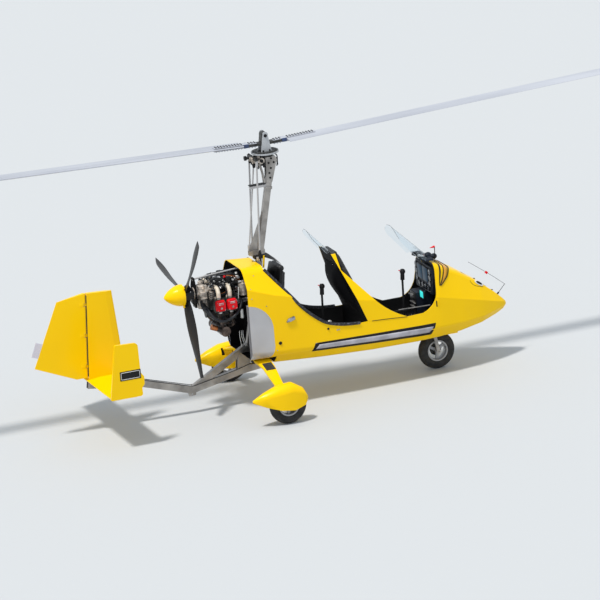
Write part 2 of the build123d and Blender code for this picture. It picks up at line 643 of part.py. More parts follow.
# Propeller: hub, three blades and spinner
SHAFT_RADIUS = 22.0
GEARBOX_END_X = -896.0
with BuildPart() as propeller:
    with Locations(Plane(origin=(PROP_X, 0, PROP_Z), z_dir=(1, 0, 0))):
        Cylinder(78, 64)
    add_rod((PROP_X + 30, 0, PROP_Z), (GEARBOX_END_X - 5, 0, PROP_Z), 62)
    for k in range(3):
        angle = radians(9.8 + 120 * k)
        out = Vector(0, cos(angle), sin(angle))
        sections = []
        # columns: distance from the axis, chord, thickness, pitch in degrees
        for reach, chord, thick, pitch in ((60, 70, 46, 40), (240, 128, 22, 32), (560, 112, 14, 22),
                                           (PROP_DIAMETER / 2, 58, 7, 17)):
            turn = radians(pitch)
            across = out.cross(Vector(1, 0, 0)) * cos(turn) + Vector(1, 0, 0) * sin(turn)
            plane = Plane(origin=Vector(PROP_X, 0, PROP_Z) + out * reach, x_dir=across, z_dir=out)
            with BuildSketch(plane) as cut:
                with BuildLine():
                    Polyline(*[(chord * run, thick * rise) for run, rise in
                               ((-0.5, 0), (-0.32, 0.4), (0, 0.6), (0.32, 0.4), (0.5, 0), (0.32, -0.26),
                                (0, -0.4), (-0.32, -0.26))], close=True)
                make_face()
            sections.append(cut.sketch.faces()[0])
        loft(sections=sections)
    add_rod((PROP_X - 40, 0, PROP_Z), (GEARBOX_END_X, 0, PROP_Z), SHAFT_RADIUS + RUNNING, mode=Mode.SUBTRACT)
save("propeller", propeller)

with BuildPart() as spinner:
    base = PROP_X - 32
    tip = base - SPINNER_LENGTH + 40
    with BuildSketch(Plane.XZ) as dome:
        with BuildLine():
            # columns: share of the length, share of the radius
            curve = [(0, 1), (0.16, 0.985), (0.36, 0.9), (0.56, 0.74), (0.74, 0.54), (0.88, 0.32), (0.97, 0.13),
                     (1, 0)]
            ring = [(base - (base - tip) * run, PROP_Z + SPINNER_RADIUS * share) for run, share in curve]
            Polyline((base, PROP_Z), *ring, close=True)
        make_face()
    revolve(dome.sketch, axis=Axis((base, 0, PROP_Z), (1, 0, 0)))
save("spinner", spinner)

# Main gear: one bow from wheel to wheel, with the axle plates at its ends
WHEEL_Y = TRACK / 2
SPAT_WALL, SPAT_HALF = 5.0, 95.0
BOW_SECTIONS = [
    # y, middle x, middle z, width along x, thickness
    (0, -262, 516, 150, 32),
    (270, -315, 515, 166, 32),
    (420, -298, 474, 130, 30),
    (WHEEL_Y - 84, -322, 376, 92, 26),
]
with BuildPart() as gear_bow:
    for (y0, x0, z0, w0, t0), (y1, x1, z1, w1, t1) in zip(BOW_SECTIONS, BOW_SECTIONS[1:]):
        faces = []
        for y, x, z, wide, thick in ((y0, x0, z0, w0, t0), (y1, x1, z1, w1, t1)):
            with BuildSketch(Plane(origin=(x, y, z), x_dir=(1, 0, 0), z_dir=(0, 1, 0))) as cut:
                RectangleRounded(wide, thick, 10)
            faces.append(cut.sketch.faces()[0])
        loft(sections=faces, ruled=True)
    plate_y = WHEEL_Y - 84
    side_slab([(-366, 389), (-276, 389), (MAIN_WHEEL_X + 30, 180), (MAIN_WHEEL_X - 30, 180)],
              WHEEL_Y - SPAT_HALF + SPAT_WALL + GAP, plate_y + 12)
    add_rod((MAIN_WHEEL_X, plate_y, WHEEL_RADIUS), (MAIN_WHEEL_X, WHEEL_Y + 66, WHEEL_RADIUS), AXLE_RADIUS)
    mirror(about=Plane.XZ)
save("gear_bow", gear_bow)

# Clamp blocks between the bow and the keel, and between the bow and the hull
with BuildPart() as bow_clamps:
    add_box((-325, -45, 400), (-195, 45, 500 - GAP))
    add_beam(KEEL_FRONT, KEEL_BEND, KEEL_WIDE + 100, KEEL_DEEP, mode=Mode.SUBTRACT)
    add_box((-325, -150, 532 + GAP), (-195, 150, BAY_Z))
save("bow_clamps", bow_clamps)

# Wheel spats: open below for the wheel
SPAT_SECTIONS = [
    # x, bottom z, top z, half width
    (-64, 226, 262, 16),
    (-110, 180, 348, 66),
    (-232, 148, 425, SPAT_HALF),
    (-380, 170, 412, SPAT_HALF),
    (-520, 216, 360, 62),
    (-647, 272, 298, 12),
]


def spat_face(x, bottom, top, half):
    """One section of a spat: straight sides under a rounded top."""
    with BuildSketch(Plane.YZ.offset(x)) as cut:
        with BuildLine():
            crown = [(WHEEL_Y + half * cos(radians(k)), top - half + half * sin(radians(k)))
                     for k in range(0, 181, 30)]
            Polyline(*crown, (WHEEL_Y - half, bottom), (WHEEL_Y + half, bottom), close=True)
        make_face()
    return cut.sketch.faces()[0]


with BuildPart() as spat:
    loft(sections=[spat_face(*row) for row in SPAT_SECTIONS], ruled=True)
    loft(sections=[spat_face(x, bottom - 60, top - SPAT_WALL, half - SPAT_WALL)
                   for x, bottom, top, half in SPAT_SECTIONS[:5]], ruled=True, mode=Mode.SUBTRACT)
    side_slab([(-384, 420), (-262, 420), (-262, 312), (-384, 312)],
              WHEEL_Y - 120, WHEEL_Y - 60, mode=Mode.SUBTRACT)
save_pair("wheel_spats", spat)


# Wheels: a tyre on a cast rim, turning on the axle
HUB_RADIUS = 26.0


def wheel_frame(x, y):
    """The plane of a wheel, its normal along the axle."""
    return Plane(origin=(x, y, WHEEL_RADIUS), x_dir=(1, 0, 0), z_dir=(0, 1, 0))


def tyre_at(x, y):
    """Adds a tyre with a rounded crown, beads on the rim."""
    half = TYRE_WIDE / 2
    with BuildSketch(Plane(origin=(x, y, WHEEL_RADIUS), x_dir=(0, 1, 0), z_dir=(1, 0, 0))) as cut:
        with BuildLine():
            right = [(34, RIM_RADIUS + GAP), (half, 128), (half, 162), (32, 187), (11, WHEEL_RADIUS)]
            Polyline(*right, *[(-y, r) for y, r in reversed(right)], close=True)
        make_face()
    revolve(cut.sketch, axis=Axis((x, y, WHEEL_RADIUS), (0, 1, 0)))


def rim_at(x, y, spokes, bore):
    """Adds a cast rim with spokes."""
    with BuildSketch(Plane(origin=(x, y, WHEEL_RADIUS), x_dir=(0, 1, 0), z_dir=(1, 0, 0))) as cut:
        with BuildLine():
            Polyline((-34, RIM_RADIUS), (34, RIM_RADIUS), (40, RIM_RADIUS + 6), (44, RIM_RADIUS + 6),
                     (44, RIM_RADIUS - 8), (20, RIM_RADIUS - 14), (-20, RIM_RADIUS - 14),
                     (-44, RIM_RADIUS - 8), (-44, RIM_RADIUS + 6), (-40, RIM_RADIUS + 6), close=True)
        make_face()
    revolve(cut.sketch, axis=Axis((x, y, WHEEL_RADIUS), (0, 1, 0)))
    with Locations(wheel_frame(x, y)):
        Cylinder(HUB_RADIUS, 84)
    with BuildSketch(wheel_frame(x, y).offset(-14)) as arms:
        with PolarLocations(RIM_RADIUS / 2 + 4, spokes, start_angle=90):
            Rectangle(RIM_RADIUS - 22, 26)
    extrude(arms.sketch, amount=28)
    with Locations(wheel_frame(x, y)):
        Cylinder(bore, 200, mode=Mode.SUBTRACT)


# columns: name, x, y, spokes
WHEELS = [("left", MAIN_WHEEL_X, WHEEL_Y, 5), ("right", MAIN_WHEEL_X, -WHEEL_Y, 5),
          ("nose", NOSE_WHEEL_X, 0.0, 3)]
for name, x, y, spokes in WHEELS:
    with BuildPart() as tyre:
        tyre_at(x, y)
    save("tyre_" + name, tyre)
    with BuildPart() as rim:
        rim_at(x, y, spokes, AXLE_RADIUS + RUNNING)
    save("rim_" + name, rim)

# Nose leg: fork, crown, axle and the stem that turns in its bush
FORK_Y = 66.0
TOW_BORE = 6.0              # blind bores in the axle's ends, for a tow bar's pins
with BuildPart() as nose_fork:
    for side in (1, -1):
        y = side * FORK_Y
        add_beam((NOSE_AXIS_X - 4, y, 404), (NOSE_WHEEL_X, y, WHEEL_RADIUS), 14, 34)
        with Locations(Plane(origin=(NOSE_WHEEL_X, y, WHEEL_RADIUS), z_dir=(0, 1, 0))):
            Cylinder(24, 14)
    add_box((NOSE_AXIS_X - 30, -FORK_Y - 7, 397), (NOSE_AXIS_X + 30, FORK_Y + 7, 420))
    add_rod((NOSE_AXIS_X, 0, 415), (NOSE_AXIS_X, 0, 540), STEM_RADIUS)
    add_rod((NOSE_WHEEL_X, -FORK_Y - 12, WHEEL_RADIUS), (NOSE_WHEEL_X, FORK_Y + 12, WHEEL_RADIUS), AXLE_RADIUS)
    for side in (1, -1):
        tip = (NOSE_WHEEL_X, side * (FORK_Y + 12), WHEEL_RADIUS)
        add_rod((NOSE_WHEEL_X, side * (FORK_Y - 8), WHEEL_RADIUS), tip, TOW_BORE, mode=Mode.SUBTRACT)
save("nose_fork", nose_fork)

with BuildPart() as nose_bush:
    add_rod((NOSE_AXIS_X, 0, WELL_TOP_Z + HULL_WALL), (NOSE_AXIS_X, 0, 545), 30)
    add_rod((NOSE_AXIS_X, 0, 400), (NOSE_AXIS_X, 0, 560), STEM_RADIUS + RUNNING, mode=Mode.SUBTRACT)
save("nose_bush", nose_bush)

# Tail: fin, rudder on its leaning hinge line, stabiliser and end plates
HINGE_LOW = Vector(-2104.0, 0, 560)
HINGE_HIGH = Vector(-2049.0, 0, 1465)
HINGE = Plane(origin=HINGE_LOW, x_dir=(-(HINGE_HIGH - HINGE_LOW).Z, 0, (HINGE_HIGH - HINGE_LOW).X),
              z_dir=HINGE_HIGH - HINGE_LOW)
HINGE_RUN = (HINGE_HIGH - HINGE_LOW).length
NOSE_HALF = FIN_THICK / 2
RUDDER_SWING = 28.0


STAB_Z = 560.0
STAB_THICK = 44.0
with BuildPart() as stabiliser:
    with BuildSketch(Plane.XZ.offset(TAIL_HALF_SPAN - 13)) as section:
        with BuildLine():
            nose = ThreePointArc((-1776, STAB_Z + 11), (-1768, STAB_Z), (-1776, STAB_Z - 11))
            Polyline(nose @ 1, (-1830, STAB_Z - 22), (-1960, STAB_Z - 20), (-2098, STAB_Z - 4),
                     (-2098, STAB_Z + 4), (-1960, STAB_Z + 20), (-1830, STAB_Z + 22), nose @ 0)
        make_face()
    extrude(section.sketch, amount=-2 * (TAIL_HALF_SPAN - 13))
    add_beam(BOOM_BEND, BOOM_END, KEEL_WIDE + 1, KEEL_DEEP + 1, mode=Mode.SUBTRACT)
save("stabiliser", stabiliser)


def fin_face(z, chord):
    """A section of the fin: round front, flat rear just ahead of the rudder's nose."""
    back = -(NOSE_HALF + RUDDER_GAP)
    with BuildSketch(HINGE.offset(z)) as cut:
        with BuildLine():
            nose = ThreePointArc((-chord + 9, 12), (-chord, 0), (-chord + 9, -12))
            Polyline(nose @ 1, (-chord + 70, -NOSE_HALF), (back, -NOSE_HALF), (back, NOSE_HALF),
                     (-chord + 70, NOSE_HALF), nose @ 0)
        make_face()
    return cut.sketch.faces()[0]


with BuildPart() as fin:
    loft(sections=[fin_face(-10, 338), fin_face(345, 378), fin_face(HINGE_RUN, 298)], ruled=True)
    add(stabiliser.part, mode=Mode.SUBTRACT)
    add_box((-2200, -60, 400), (-1700, 60, STAB_Z + 8), mode=Mode.SUBTRACT)
save("fin", fin)

with BuildPart() as rudder:
    faces = []
    for z, chord in ((-20, 612), (HINGE_RUN, 262)):
        with BuildSketch(HINGE.offset(z)) as cut:
            with BuildLine():
                nose = ThreePointArc((0, NOSE_HALF), (-NOSE_HALF, 0), (0, -NOSE_HALF))
                Polyline(nose @ 1, (chord, -4), (chord, 4), nose @ 0)
            make_face()
        faces.append(cut.sketch.faces()[0])
    loft(sections=faces, ruled=True)
    side_slab([(-2060, 592), (-2202, 592), (-2616, 771), (-2850, 872), (-2850, 400), (-2060, 400)],
              -60, 60, mode=Mode.SUBTRACT)
    side_slab([(-1990, 1468), (-2049, 1466), (-2329, 1424), (-2400, 1414), (-2400, 1600), (-1990, 1600)],
              -60, 60, mode=Mode.SUBTRACT)
    for z in (150, 470, 790):
        with Locations(HINGE.offset(z)):
            Box(96, 80, 40, mode=Mode.SUBTRACT)
            Cylinder(5 + RUNNING, 110, mode=Mode.SUBTRACT)
save("rudder", rudder)

with BuildPart() as trim_tab:
    side_slab([(-2500, 1008), (-2591, 1044), (-2650, 902), (-2560, 868)], -1.5, 1.5)
    add(rudder.part, mode=Mode.SUBTRACT)
save("trim_tab", trim_tab)

with BuildPart() as rudder_hinges:
    for z in (150, 470, 790):
        with Locations(HINGE.offset(z)):
            Box(NOSE_HALF + RUDDER_GAP + 9, 24, 26, align=(Align.MAX, Align.CENTER, Align.CENTER))
            Cylinder(12, 26)
            Cylinder(5, 86)
        with Locations(HINGE.offset(z)):
            with Locations((-(NOSE_HALF + RUDDER_GAP), 0, 0)):
                Box(40, 60, 60, align=(Align.MAX, Align.CENTER, Align.CENTER), mode=Mode.SUBTRACT)
save("rudder_hinges", rudder_hinges)

with BuildPart() as end_plate:
    with BuildSketch(Plane.XZ.offset(-TAIL_HALF_SPAN + 12.5)) as plate:
        with BuildLine():
            FilletPolyline((-2021, 1111), (-1782, 1101), (-1776, 790), (-1742, 745), (-1744, 665),
                           (-1773, 630), (-1769, 548), (-2109, 548), radius=[12, 40, 30, 24, 24, 30, 24, 12],
                           close=True)
        make_face()
    extrude(plate.sketch, amount=-25)
save_pair("end_plates", end_plate)

# Engine: flat four behind the mast, with its gearbox towards the propeller
ENGINE_Z = 1160.0
CASE_REAR_X, CASE_FRONT_X = -775.0, -490.0
CASE_HALF = 92.0
CYLINDERS = [(-716.0, 1), (-594.0, 1), (-702.0, -1), (-580.0, -1)]    # x, side
HEAD_Y, COVER_Y, COVER_END_Y = 205.0, 262.0, 300.0
EXHAUST_WALL = 2.0
GEAR_LOW_RADIUS, GEAR_NECK_RADIUS = 74.0, 58.0

with BuildPart() as crankcase:
    add_box((CASE_REAR_X, -CASE_HALF, ENGINE_Z - 105), (CASE_FRONT_X, CASE_HALF, ENGINE_Z + 105))
    chamfer(crankcase.edges().filter_by(Axis.X), 34)
    for x, side in CYLINDERS:
        with Locations(Plane(origin=(x, side * 148, ENGINE_Z), z_dir=(0, 1, 0))):
            Cylinder(48, 114)
        for k in range(6):
            y = side * (104 + 17 * k)
            add_box((x - 56, y - 2.5, ENGINE_Z - 58), (x + 56, y + 2.5, ENGINE_Z + 58))
        low, high = sorted((side * HEAD_Y, side * COVER_Y))
        add_box((x - 54, low, ENGINE_Z - 70), (x + 54, high, ENGINE_Z + 62))
save("crankcase", crankcase)

with BuildPart() as rocker_covers:
    for x, side in CYLINDERS:
        with BuildSketch(Plane(origin=(x, side * COVER_Y, ENGINE_Z), x_dir=(1, 0, 0), z_dir=(0, side, 0))) as base:
            RectangleRounded(104, 112, 22)
        extrude(base.sketch, amount=COVER_END_Y - COVER_Y, taper=8)
save("rocker_covers", rocker_covers)

with BuildPart() as gearbox:
    with Locations(Plane(origin=(CASE_REAR_X, 0, PROP_Z - 20), z_dir=(-1, 0, 0))):
        Cylinder(92, 70, align=(Align.CENTER, Align.CENTER, Align.MIN))
    with Locations(Plane(origin=(CASE_REAR_X, 0, ENGINE_Z), z_dir=(-1, 0, 0))):
        Cylinder(GEAR_LOW_RADIUS, 70, align=(Align.CENTER, Align.CENTER, Align.MIN))
    add_rod((CASE_REAR_X - 70, 0, PROP_Z), (GEARBOX_END_X, 0, PROP_Z), GEAR_NECK_RADIUS)
    add_rod((GEARBOX_END_X, 0, PROP_Z), (PROP_X - 20, 0, PROP_Z), SHAFT_RADIUS)
save("gearbox", gearbox)

MANIFOLD_Z = ENGINE_Z + 168
CARB_X = -504.0
with BuildPart() as intake:
    add_box((-706, -66, MANIFOLD_Z - 26), (-520, 66, MANIFOLD_Z + 26))
    chamfer(intake.edges().filter_by(Axis.X), 14)
    for x, side in CYLINDERS:
        add_pipe([(x, side * 232, ENGINE_Z + 62), (x, side * 232, MANIFOLD_Z - 22), (x + 4, side * 170, MANIFOLD_Z),
                  (x + 8, side * 50, MANIFOLD_Z)], 21, 26)
    for side in (1, -1):
        add_rod((-522, side * 44, MANIFOLD_Z), (CARB_X - GAP, side * 44, MANIFOLD_Z), 20)
save("intake", intake)

# What stands on and around the engine
with BuildPart() as carburettor:
    add_box((CARB_X, 18, MANIFOLD_Z - 30), (CARB_X + 50, 70, MANIFOLD_Z + 32))
    add_box((CARB_X + 4, 22, MANIFOLD_Z - 60), (CARB_X + 46, 66, MANIFOLD_Z - 29))
    add_rod((CARB_X + 25, 44, MANIFOLD_Z + 31), (CARB_X + 25, 44, MANIFOLD_Z + 62), 24)
    add_rod((CARB_X + 49, 44, MANIFOLD_Z), (CARB_X + 84, 44, MANIFOLD_Z), 25)
save_pair("carburettors", carburettor)

with BuildPart() as airbox:
    add_box((-716, -84, MANIFOLD_Z + 26 + GAP), (-516, 84, MANIFOLD_Z + 72))
    chamfer(airbox.faces().sort_by(Axis.Z)[-1].edges(), 12)
save("airbox", airbox)

with BuildPart() as ignition_boxes:
    add_box((-774, -88, ENGINE_Z + 105 + GAP), (-728, 88, ENGINE_Z + 138))
    for y in (-60, -20, 20, 60):
        add_rod((-755, y, ENGINE_Z + 137), (-755, y, ENGINE_Z + 172), 10)
save("ignition_boxes", ignition_boxes)

with BuildPart() as starter:
    starter_z = ENGINE_Z - 142
    add_rod((CASE_REAR_X - 4, 0, starter_z), (CASE_REAR_X + 150, 0, starter_z), 36)
    add_box((CASE_REAR_X + 10, -24, starter_z), (CASE_REAR_X + 130, 24, ENGINE_Z - 105 - GAP))
save("starter", starter)

with BuildPart() as oil_tank:
    tank_x, tank_y, tank_low, tank_high = -398, -116, 1192, 1312
    add_rod((tank_x, tank_y, tank_low), (tank_x, tank_y, tank_high), 46)
    add_rod((tank_x, tank_y, tank_high - 2), (tank_x, tank_y, tank_high + 22), 18)
    add_box((tank_x - 10, tank_y + 20, 1272), (tank_x + 10, -MAST_WIDE / 2 - GAP, 1298))
    add_box((tank_x - 10, -MAST_WIDE / 2 - 12, 1272), (mast_x(1285), -MAST_WIDE / 2 - GAP, 1298))
save("oil_tank", oil_tank)

with BuildPart() as exhaust:
    muffler_z = ENGINE_Z - 305
    routes = [[(x, side * 236, ENGINE_Z - 70), (x, side * 236, ENGINE_Z - 150),
               (x + 40, side * 165, ENGINE_Z - 245), (-640, side * inner_y, muffler_z + 15)]
              for (x, side), inner_y in zip(CYLINDERS, (130, 70, 130, 70))]
    for route in routes:
        add_pipe(route, 19, 24)
    add_rod((-640, -190, muffler_z), (-640, 190, muffler_z), 52)
    add_rod((-640, -150, muffler_z), (-760, -150, ENGINE_Z - 250), 24)
    for route in routes:
        add_pipe(route, 19 - EXHAUST_WALL, 24, mode=Mode.SUBTRACT)
    add_rod((-640, -190 + EXHAUST_WALL, muffler_z), (-640, 190 - EXHAUST_WALL, muffler_z), 52 - EXHAUST_WALL,
            mode=Mode.SUBTRACT)
    add_rod((-640, -150, muffler_z), (-780, -150, ENGINE_Z - 241), 24 - EXHAUST_WALL, mode=Mode.SUBTRACT)
save("exhaust", exhaust)

# columns: x, y and height from the crankshaft of the hose that hangs under each bank
HOSE_ROUTE = [(-812, 40, -8), (-818, 190, -30), (-785, 285, -118), (-694, 288, -168), (-584, 288, -140),
              (-500, 262, -80), (-448, 205, -14), (-440, 70, 0), (CASE_FRONT_X + GAP, 70, 0)]
with BuildPart() as coolant_hose:
    add_pipe([(x, y, ENGINE_Z + up) for x, y, up in HOSE_ROUTE], 15, 24)
    add_rod((-900, 0, ENGINE_Z), (-700, 0, ENGINE_Z), GEAR_LOW_RADIUS + GAP, mode=Mode.SUBTRACT)
save_pair("coolant_hoses", coolant_hose)

# The plate behind the gearbox that carries the upper brace
with BuildPart() as brace_plate:
    with BuildSketch(Plane.YZ.offset(-888)) as plate_face:
        with BuildLine():
            Polyline((-30, 1422), (30, 1422), (72, 1330), (72, 1200), (40, 1112), (-40, 1112), (-72, 1200),
                     (-72, 1330), close=True)
        make_face()
        with Locations((0, PROP_Z)):
            Circle(GEAR_NECK_RADIUS + GAP, mode=Mode.SUBTRACT)
    extrude(plate_face.sketch, amount=14)
save("brace_plate", brace_plate)

with BuildPart() as engine_mount:
    for side in (1, -1):
        for z in (ENGINE_Z - 70, ENGINE_Z + 70):
            add_rod((CASE_FRONT_X + 2.5, side * 48, z), (mast_x(z) - 34, side * 14, z + 10), 12)
    add_rod((-874 + GAP, 0, 1406), (mast_x(1452) - 33, 0, 1452), 9)
save("engine_mount", engine_mount)
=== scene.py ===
import json
from math import atan2, cos, exp, pi, radians, sin
from random import Random

import bmesh
import bpy
from mathutils import Matrix, Vector
from mathutils.bvhtree import BVHTree


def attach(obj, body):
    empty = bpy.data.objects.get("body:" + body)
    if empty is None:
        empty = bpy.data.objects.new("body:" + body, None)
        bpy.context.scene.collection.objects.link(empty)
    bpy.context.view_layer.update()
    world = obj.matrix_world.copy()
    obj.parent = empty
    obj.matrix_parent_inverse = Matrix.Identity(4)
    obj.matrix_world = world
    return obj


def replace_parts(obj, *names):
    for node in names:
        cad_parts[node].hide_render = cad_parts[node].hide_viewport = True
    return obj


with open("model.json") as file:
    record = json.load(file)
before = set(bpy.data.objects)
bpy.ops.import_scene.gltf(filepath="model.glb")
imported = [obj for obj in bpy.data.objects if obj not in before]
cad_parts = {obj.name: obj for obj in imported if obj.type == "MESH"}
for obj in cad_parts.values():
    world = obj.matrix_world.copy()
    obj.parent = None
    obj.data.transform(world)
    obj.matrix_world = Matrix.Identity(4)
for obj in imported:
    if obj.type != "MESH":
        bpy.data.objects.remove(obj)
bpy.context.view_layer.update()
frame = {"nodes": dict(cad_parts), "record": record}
nodes = frame["nodes"]
body_of_node = {
    node: body
    for body, names in frame["record"]["behaviour"]["bodies"].items()
    for node in names
}
slot_of_node = {row["node"]: row["material_slot"] for row in frame["record"]["subparts"]}
SIDES = (1, -1)

# Camera, at the photograph's angle
VIEW_RIGHT = Vector((0.9329, -0.3509, -0.0810))
VIEW_UP = Vector((0.1768, 0.2505, 0.9518))
VIEW_BACK = Vector((-0.3137, -0.9023, 0.2958))
VIEW_DISTANCE = 67.57
VIEW_LENS = 398.2


def add_camera():
    """A long lens far off, aimed at the middle of the photograph's frame."""
    data = bpy.data.cameras.new("camera")
    data.lens, data.sensor_width = VIEW_LENS, 36
    data.clip_start, data.clip_end = 1, 400
    camera = bpy.data.objects.new("camera", data)
    bpy.context.scene.collection.objects.link(camera)
    eye = VIEW_BACK * VIEW_DISTANCE
    aim = VIEW_RIGHT * 0.1466 + VIEW_UP * 0.9832
    back = (eye - aim).normalized()
    right = VIEW_UP.cross(back).normalized()
    up = back.cross(right)
    turn = Matrix((right, up, back)).transposed()
    camera.matrix_world = Matrix.Translation(eye) @ turn.to_4x4()
    bpy.context.scene.camera = camera


add_camera()


class Finish:
    """A procedural material, built up in layers over one shader, and the slot its pieces belong to."""

    slot = "black_plastic"

    def __init__(self, name, colour, rough=0.5, metal=0.0, **sockets):
        self.material = bpy.data.materials.new(name)
        self.material.use_nodes = True
        self.tree = self.material.node_tree
        self.shader = self.tree.nodes["Principled BSDF"]
        self.colour = (*colour, 1)
        self.shader.inputs["Base Color"].default_value = self.colour
        self.shader.inputs["Roughness"].default_value = rough
        self.shader.inputs["Metallic"].default_value = metal
        for socket, value in sockets.items():
            self.shader.inputs[socket.replace("_", " ")].default_value = value
        self.place = self.tree.nodes.new("ShaderNodeTexCoord").outputs["Object"]

    def node(self, kind, **values):
        """Adds a node and sets its properties or inputs."""
        made = self.tree.nodes.new("ShaderNode" + kind)
        for key, value in values.items():
            if hasattr(made, key):
                setattr(made, key, value)
            else:
                made.inputs[key.replace("_", " ")].default_value = value
        return made

    def link(self, source, target):
        self.tree.links.new(source, target)

    def stretched(self, scale):
        """Object coordinates, stretched by a scale for each axis."""
        mapping = self.node("Mapping")
        mapping.inputs["Scale"].default_value = scale
        self.link(self.place, mapping.inputs["Vector"])
        return mapping.outputs["Vector"]

    def noise(self, scale, detail=3.0, stretch=None):
        made = self.node("TexNoise", Scale=scale, Detail=detail)
        self.link(self.stretched(stretch) if stretch else self.place, made.inputs["Vector"])
        return made.outputs["Fac"]

    def ramp(self, source, low, high, start=0.35, end=0.65):
        """A colour between low and high, after a value."""
        made = self.node("ValToRGB")
        ends = made.color_ramp.elements
        ends[0].position, ends[0].color = start, (*low, 1)
        ends[1].position, ends[1].color = end, (*high, 1)
        self.link(source, made.inputs["Fac"])
        return made.outputs["Color"]

    def tint(self, source, low, high, start=0.35, end=0.65):
        """Colours the surface between low and high."""
        self.link(self.ramp(source, low, high, start, end), self.shader.inputs["Base Color"])
        return self

    def gloss(self, source, low, high):
        """Lets the roughness follow a value."""
        made = self.node("MapRange", To_Min=low, To_Max=high)
        self.link(source, made.inputs["Value"])
        self.link(made.outputs["Result"], self.shader.inputs["Roughness"])
        return self

    def bump(self, source, strength, distance=0.002):
        made = self.node("Bump", Strength=strength, Distance=distance)
        self.link(source, made.inputs["Height"])
        self.link(made.outputs["Normal"], self.shader.inputs["Normal"])
        return self


def scaled(colour, factor):
    return tuple(channel * factor for channel in colour)


YELLOW = (1.0, 0.62, 0.0)
SILVER = (0.47, 0.47, 0.49)
STEEL = (0.36, 0.34, 0.32)
BLACK = (0.006, 0.006, 0.007)
RED = (0.80, 0.008, 0.016)


def painted_yellow():
    """Gloss paint, a little uneven where the mould shows through."""
    made = Finish("yellow_paint", YELLOW, rough=0.3, Specular_IOR_Level=0.14, Coat_Weight=0.06,
                  Coat_Roughness=0.06)
    made.tint(made.noise(1.6, 2.0), scaled(YELLOW, 0.96), YELLOW)
    return made.bump(made.noise(9.0, 1.0), 0.02, 0.004)


def painted_silver():
    made = Finish("silver_paint", SILVER, rough=0.42, metal=0.35, Coat_Weight=0.3, Coat_Roughness=0.15)
    made.tint(made.noise(3.0, 2.0), scaled(SILVER, 0.94), scaled(SILVER, 1.08))
    return made.bump(made.noise(420.0), 0.04, 0.0005)


def brushed_steel():
    made = Finish("brushed_steel", STEEL, rough=0.38, metal=0.8)
    grain = made.noise(46.0, 4.0, stretch=(1, 16, 5))
    made.tint(made.noise(7.0, 5.0), scaled(STEEL, 0.7), scaled(STEEL, 1.25))
    made.gloss(grain, 0.28, 0.52)
    return made.bump(grain, 0.15, 0.0006)


def cast_metal(name, colour, rough=0.5, metal=0.8):
    """Sand-cast or machined metal with stains in its hollows."""
    made = Finish(name, colour, rough=rough, metal=metal)
    made.tint(made.noise(24.0, 6.0), scaled(colour, 0.5), scaled(colour, 1.2), 0.4, 0.6)
    return made.bump(made.noise(350.0), 0.35, 0.0008)


def blade_metal():
    made = Finish("blade_metal", (0.62, 0.65, 0.72), rough=0.35, metal=0.35)
    made.tint(made.noise(1.2, 4.0, stretch=(0.4, 3, 3)), (0.46, 0.48, 0.54), (0.60, 0.62, 0.68))
    return made.gloss(made.noise(9.0, stretch=(1, 12, 12)), 0.3, 0.46)


def satin_rod(name, colour):
    """Drawn or milled light metal, nearly even."""
    made = Finish(name, colour, rough=0.42, metal=0.3)
    grain = made.noise(90.0, 3.0, stretch=(6, 6, 1))
    made.tint(grain, scaled(colour, 0.86), scaled(colour, 1.1))
    return made.bump(grain, 0.06, 0.0004)


def smooth_plastic(name, colour, rough=0.4, shine=0.5):
    made = Finish(name, colour, rough=rough, Specular_IOR_Level=shine)
    made.tint(made.noise(6.0), scaled(colour, 0.8), scaled(colour, 1.3))
    return made.bump(made.noise(500.0), 0.12, 0.0005)


def tyre_rubber():
    made = Finish("tyre_rubber", (0.02, 0.02, 0.021), rough=0.82)
    made.tint(made.noise(25.0, 5.0), (0.014, 0.014, 0.014), (0.036, 0.034, 0.033))
    return made.bump(made.noise(600.0), 0.25, 0.0008)


def seat_leather():
    made = Finish("seat_leather", (0.02, 0.02, 0.022), rough=0.5)
    pores = made.node("TexVoronoi", Scale=260.0)
    made.link(made.place, pores.inputs["Vector"])
    made.tint(made.noise(8.0), (0.014, 0.014, 0.016), (0.032, 0.032, 0.035))
    return made.bump(pores.outputs["Distance"], 0.3, 0.0008)


def woven_strap():
    made = Finish("woven_strap", (0.016, 0.016, 0.018), rough=0.75, Sheen_Weight=0.3)
    weave = made.noise(900.0, 1.0, stretch=(1, 4, 1))
    made.tint(weave, (0.010, 0.010, 0.011), (0.035, 0.035, 0.038))
    return made.bump(weave, 0.3, 0.0005)


def clear_sheet():
    """Clear acrylic with a faint haze."""
    made = Finish("clear_sheet", (0.90, 0.95, 0.98), rough=0.04, IOR=1.12, Transmission_Weight=1.0)
    return made.gloss(made.noise(12.0, 2.0), 0.02, 0.07)


def carbon_blade():
    made = Finish("carbon_blade", (0.012, 0.012, 0.013), rough=0.4, Specular_IOR_Level=0.25)
    weave = made.noise(220.0, 1.0, stretch=(1, 3, 1))
    made.tint(weave, (0.008, 0.008, 0.009), (0.018, 0.018, 0.02))
    return made.bump(weave, 0.08, 0.0004)


def heated_steel(name, low, high):
    """Pipe metal that heat has browned in patches."""
    made = Finish(name, low, rough=0.42, metal=0.85)
    made.tint(made.noise(13.0, 5.0), low, high, 0.4, 0.62)
    return made.bump(made.noise(200.0), 0.2, 0.0006)


def mottled_rubber():
    """Edge trim whose grain catches the light in specks."""
    made = Finish("mottled_rubber", (0.02, 0.02, 0.025), rough=0.5)
    made.tint(made.noise(55.0, 4.0), (0.008, 0.008, 0.010), (0.10, 0.11, 0.15), 0.5, 0.72)
    return made.bump(made.noise(120.0, 3.0), 0.5, 0.002)


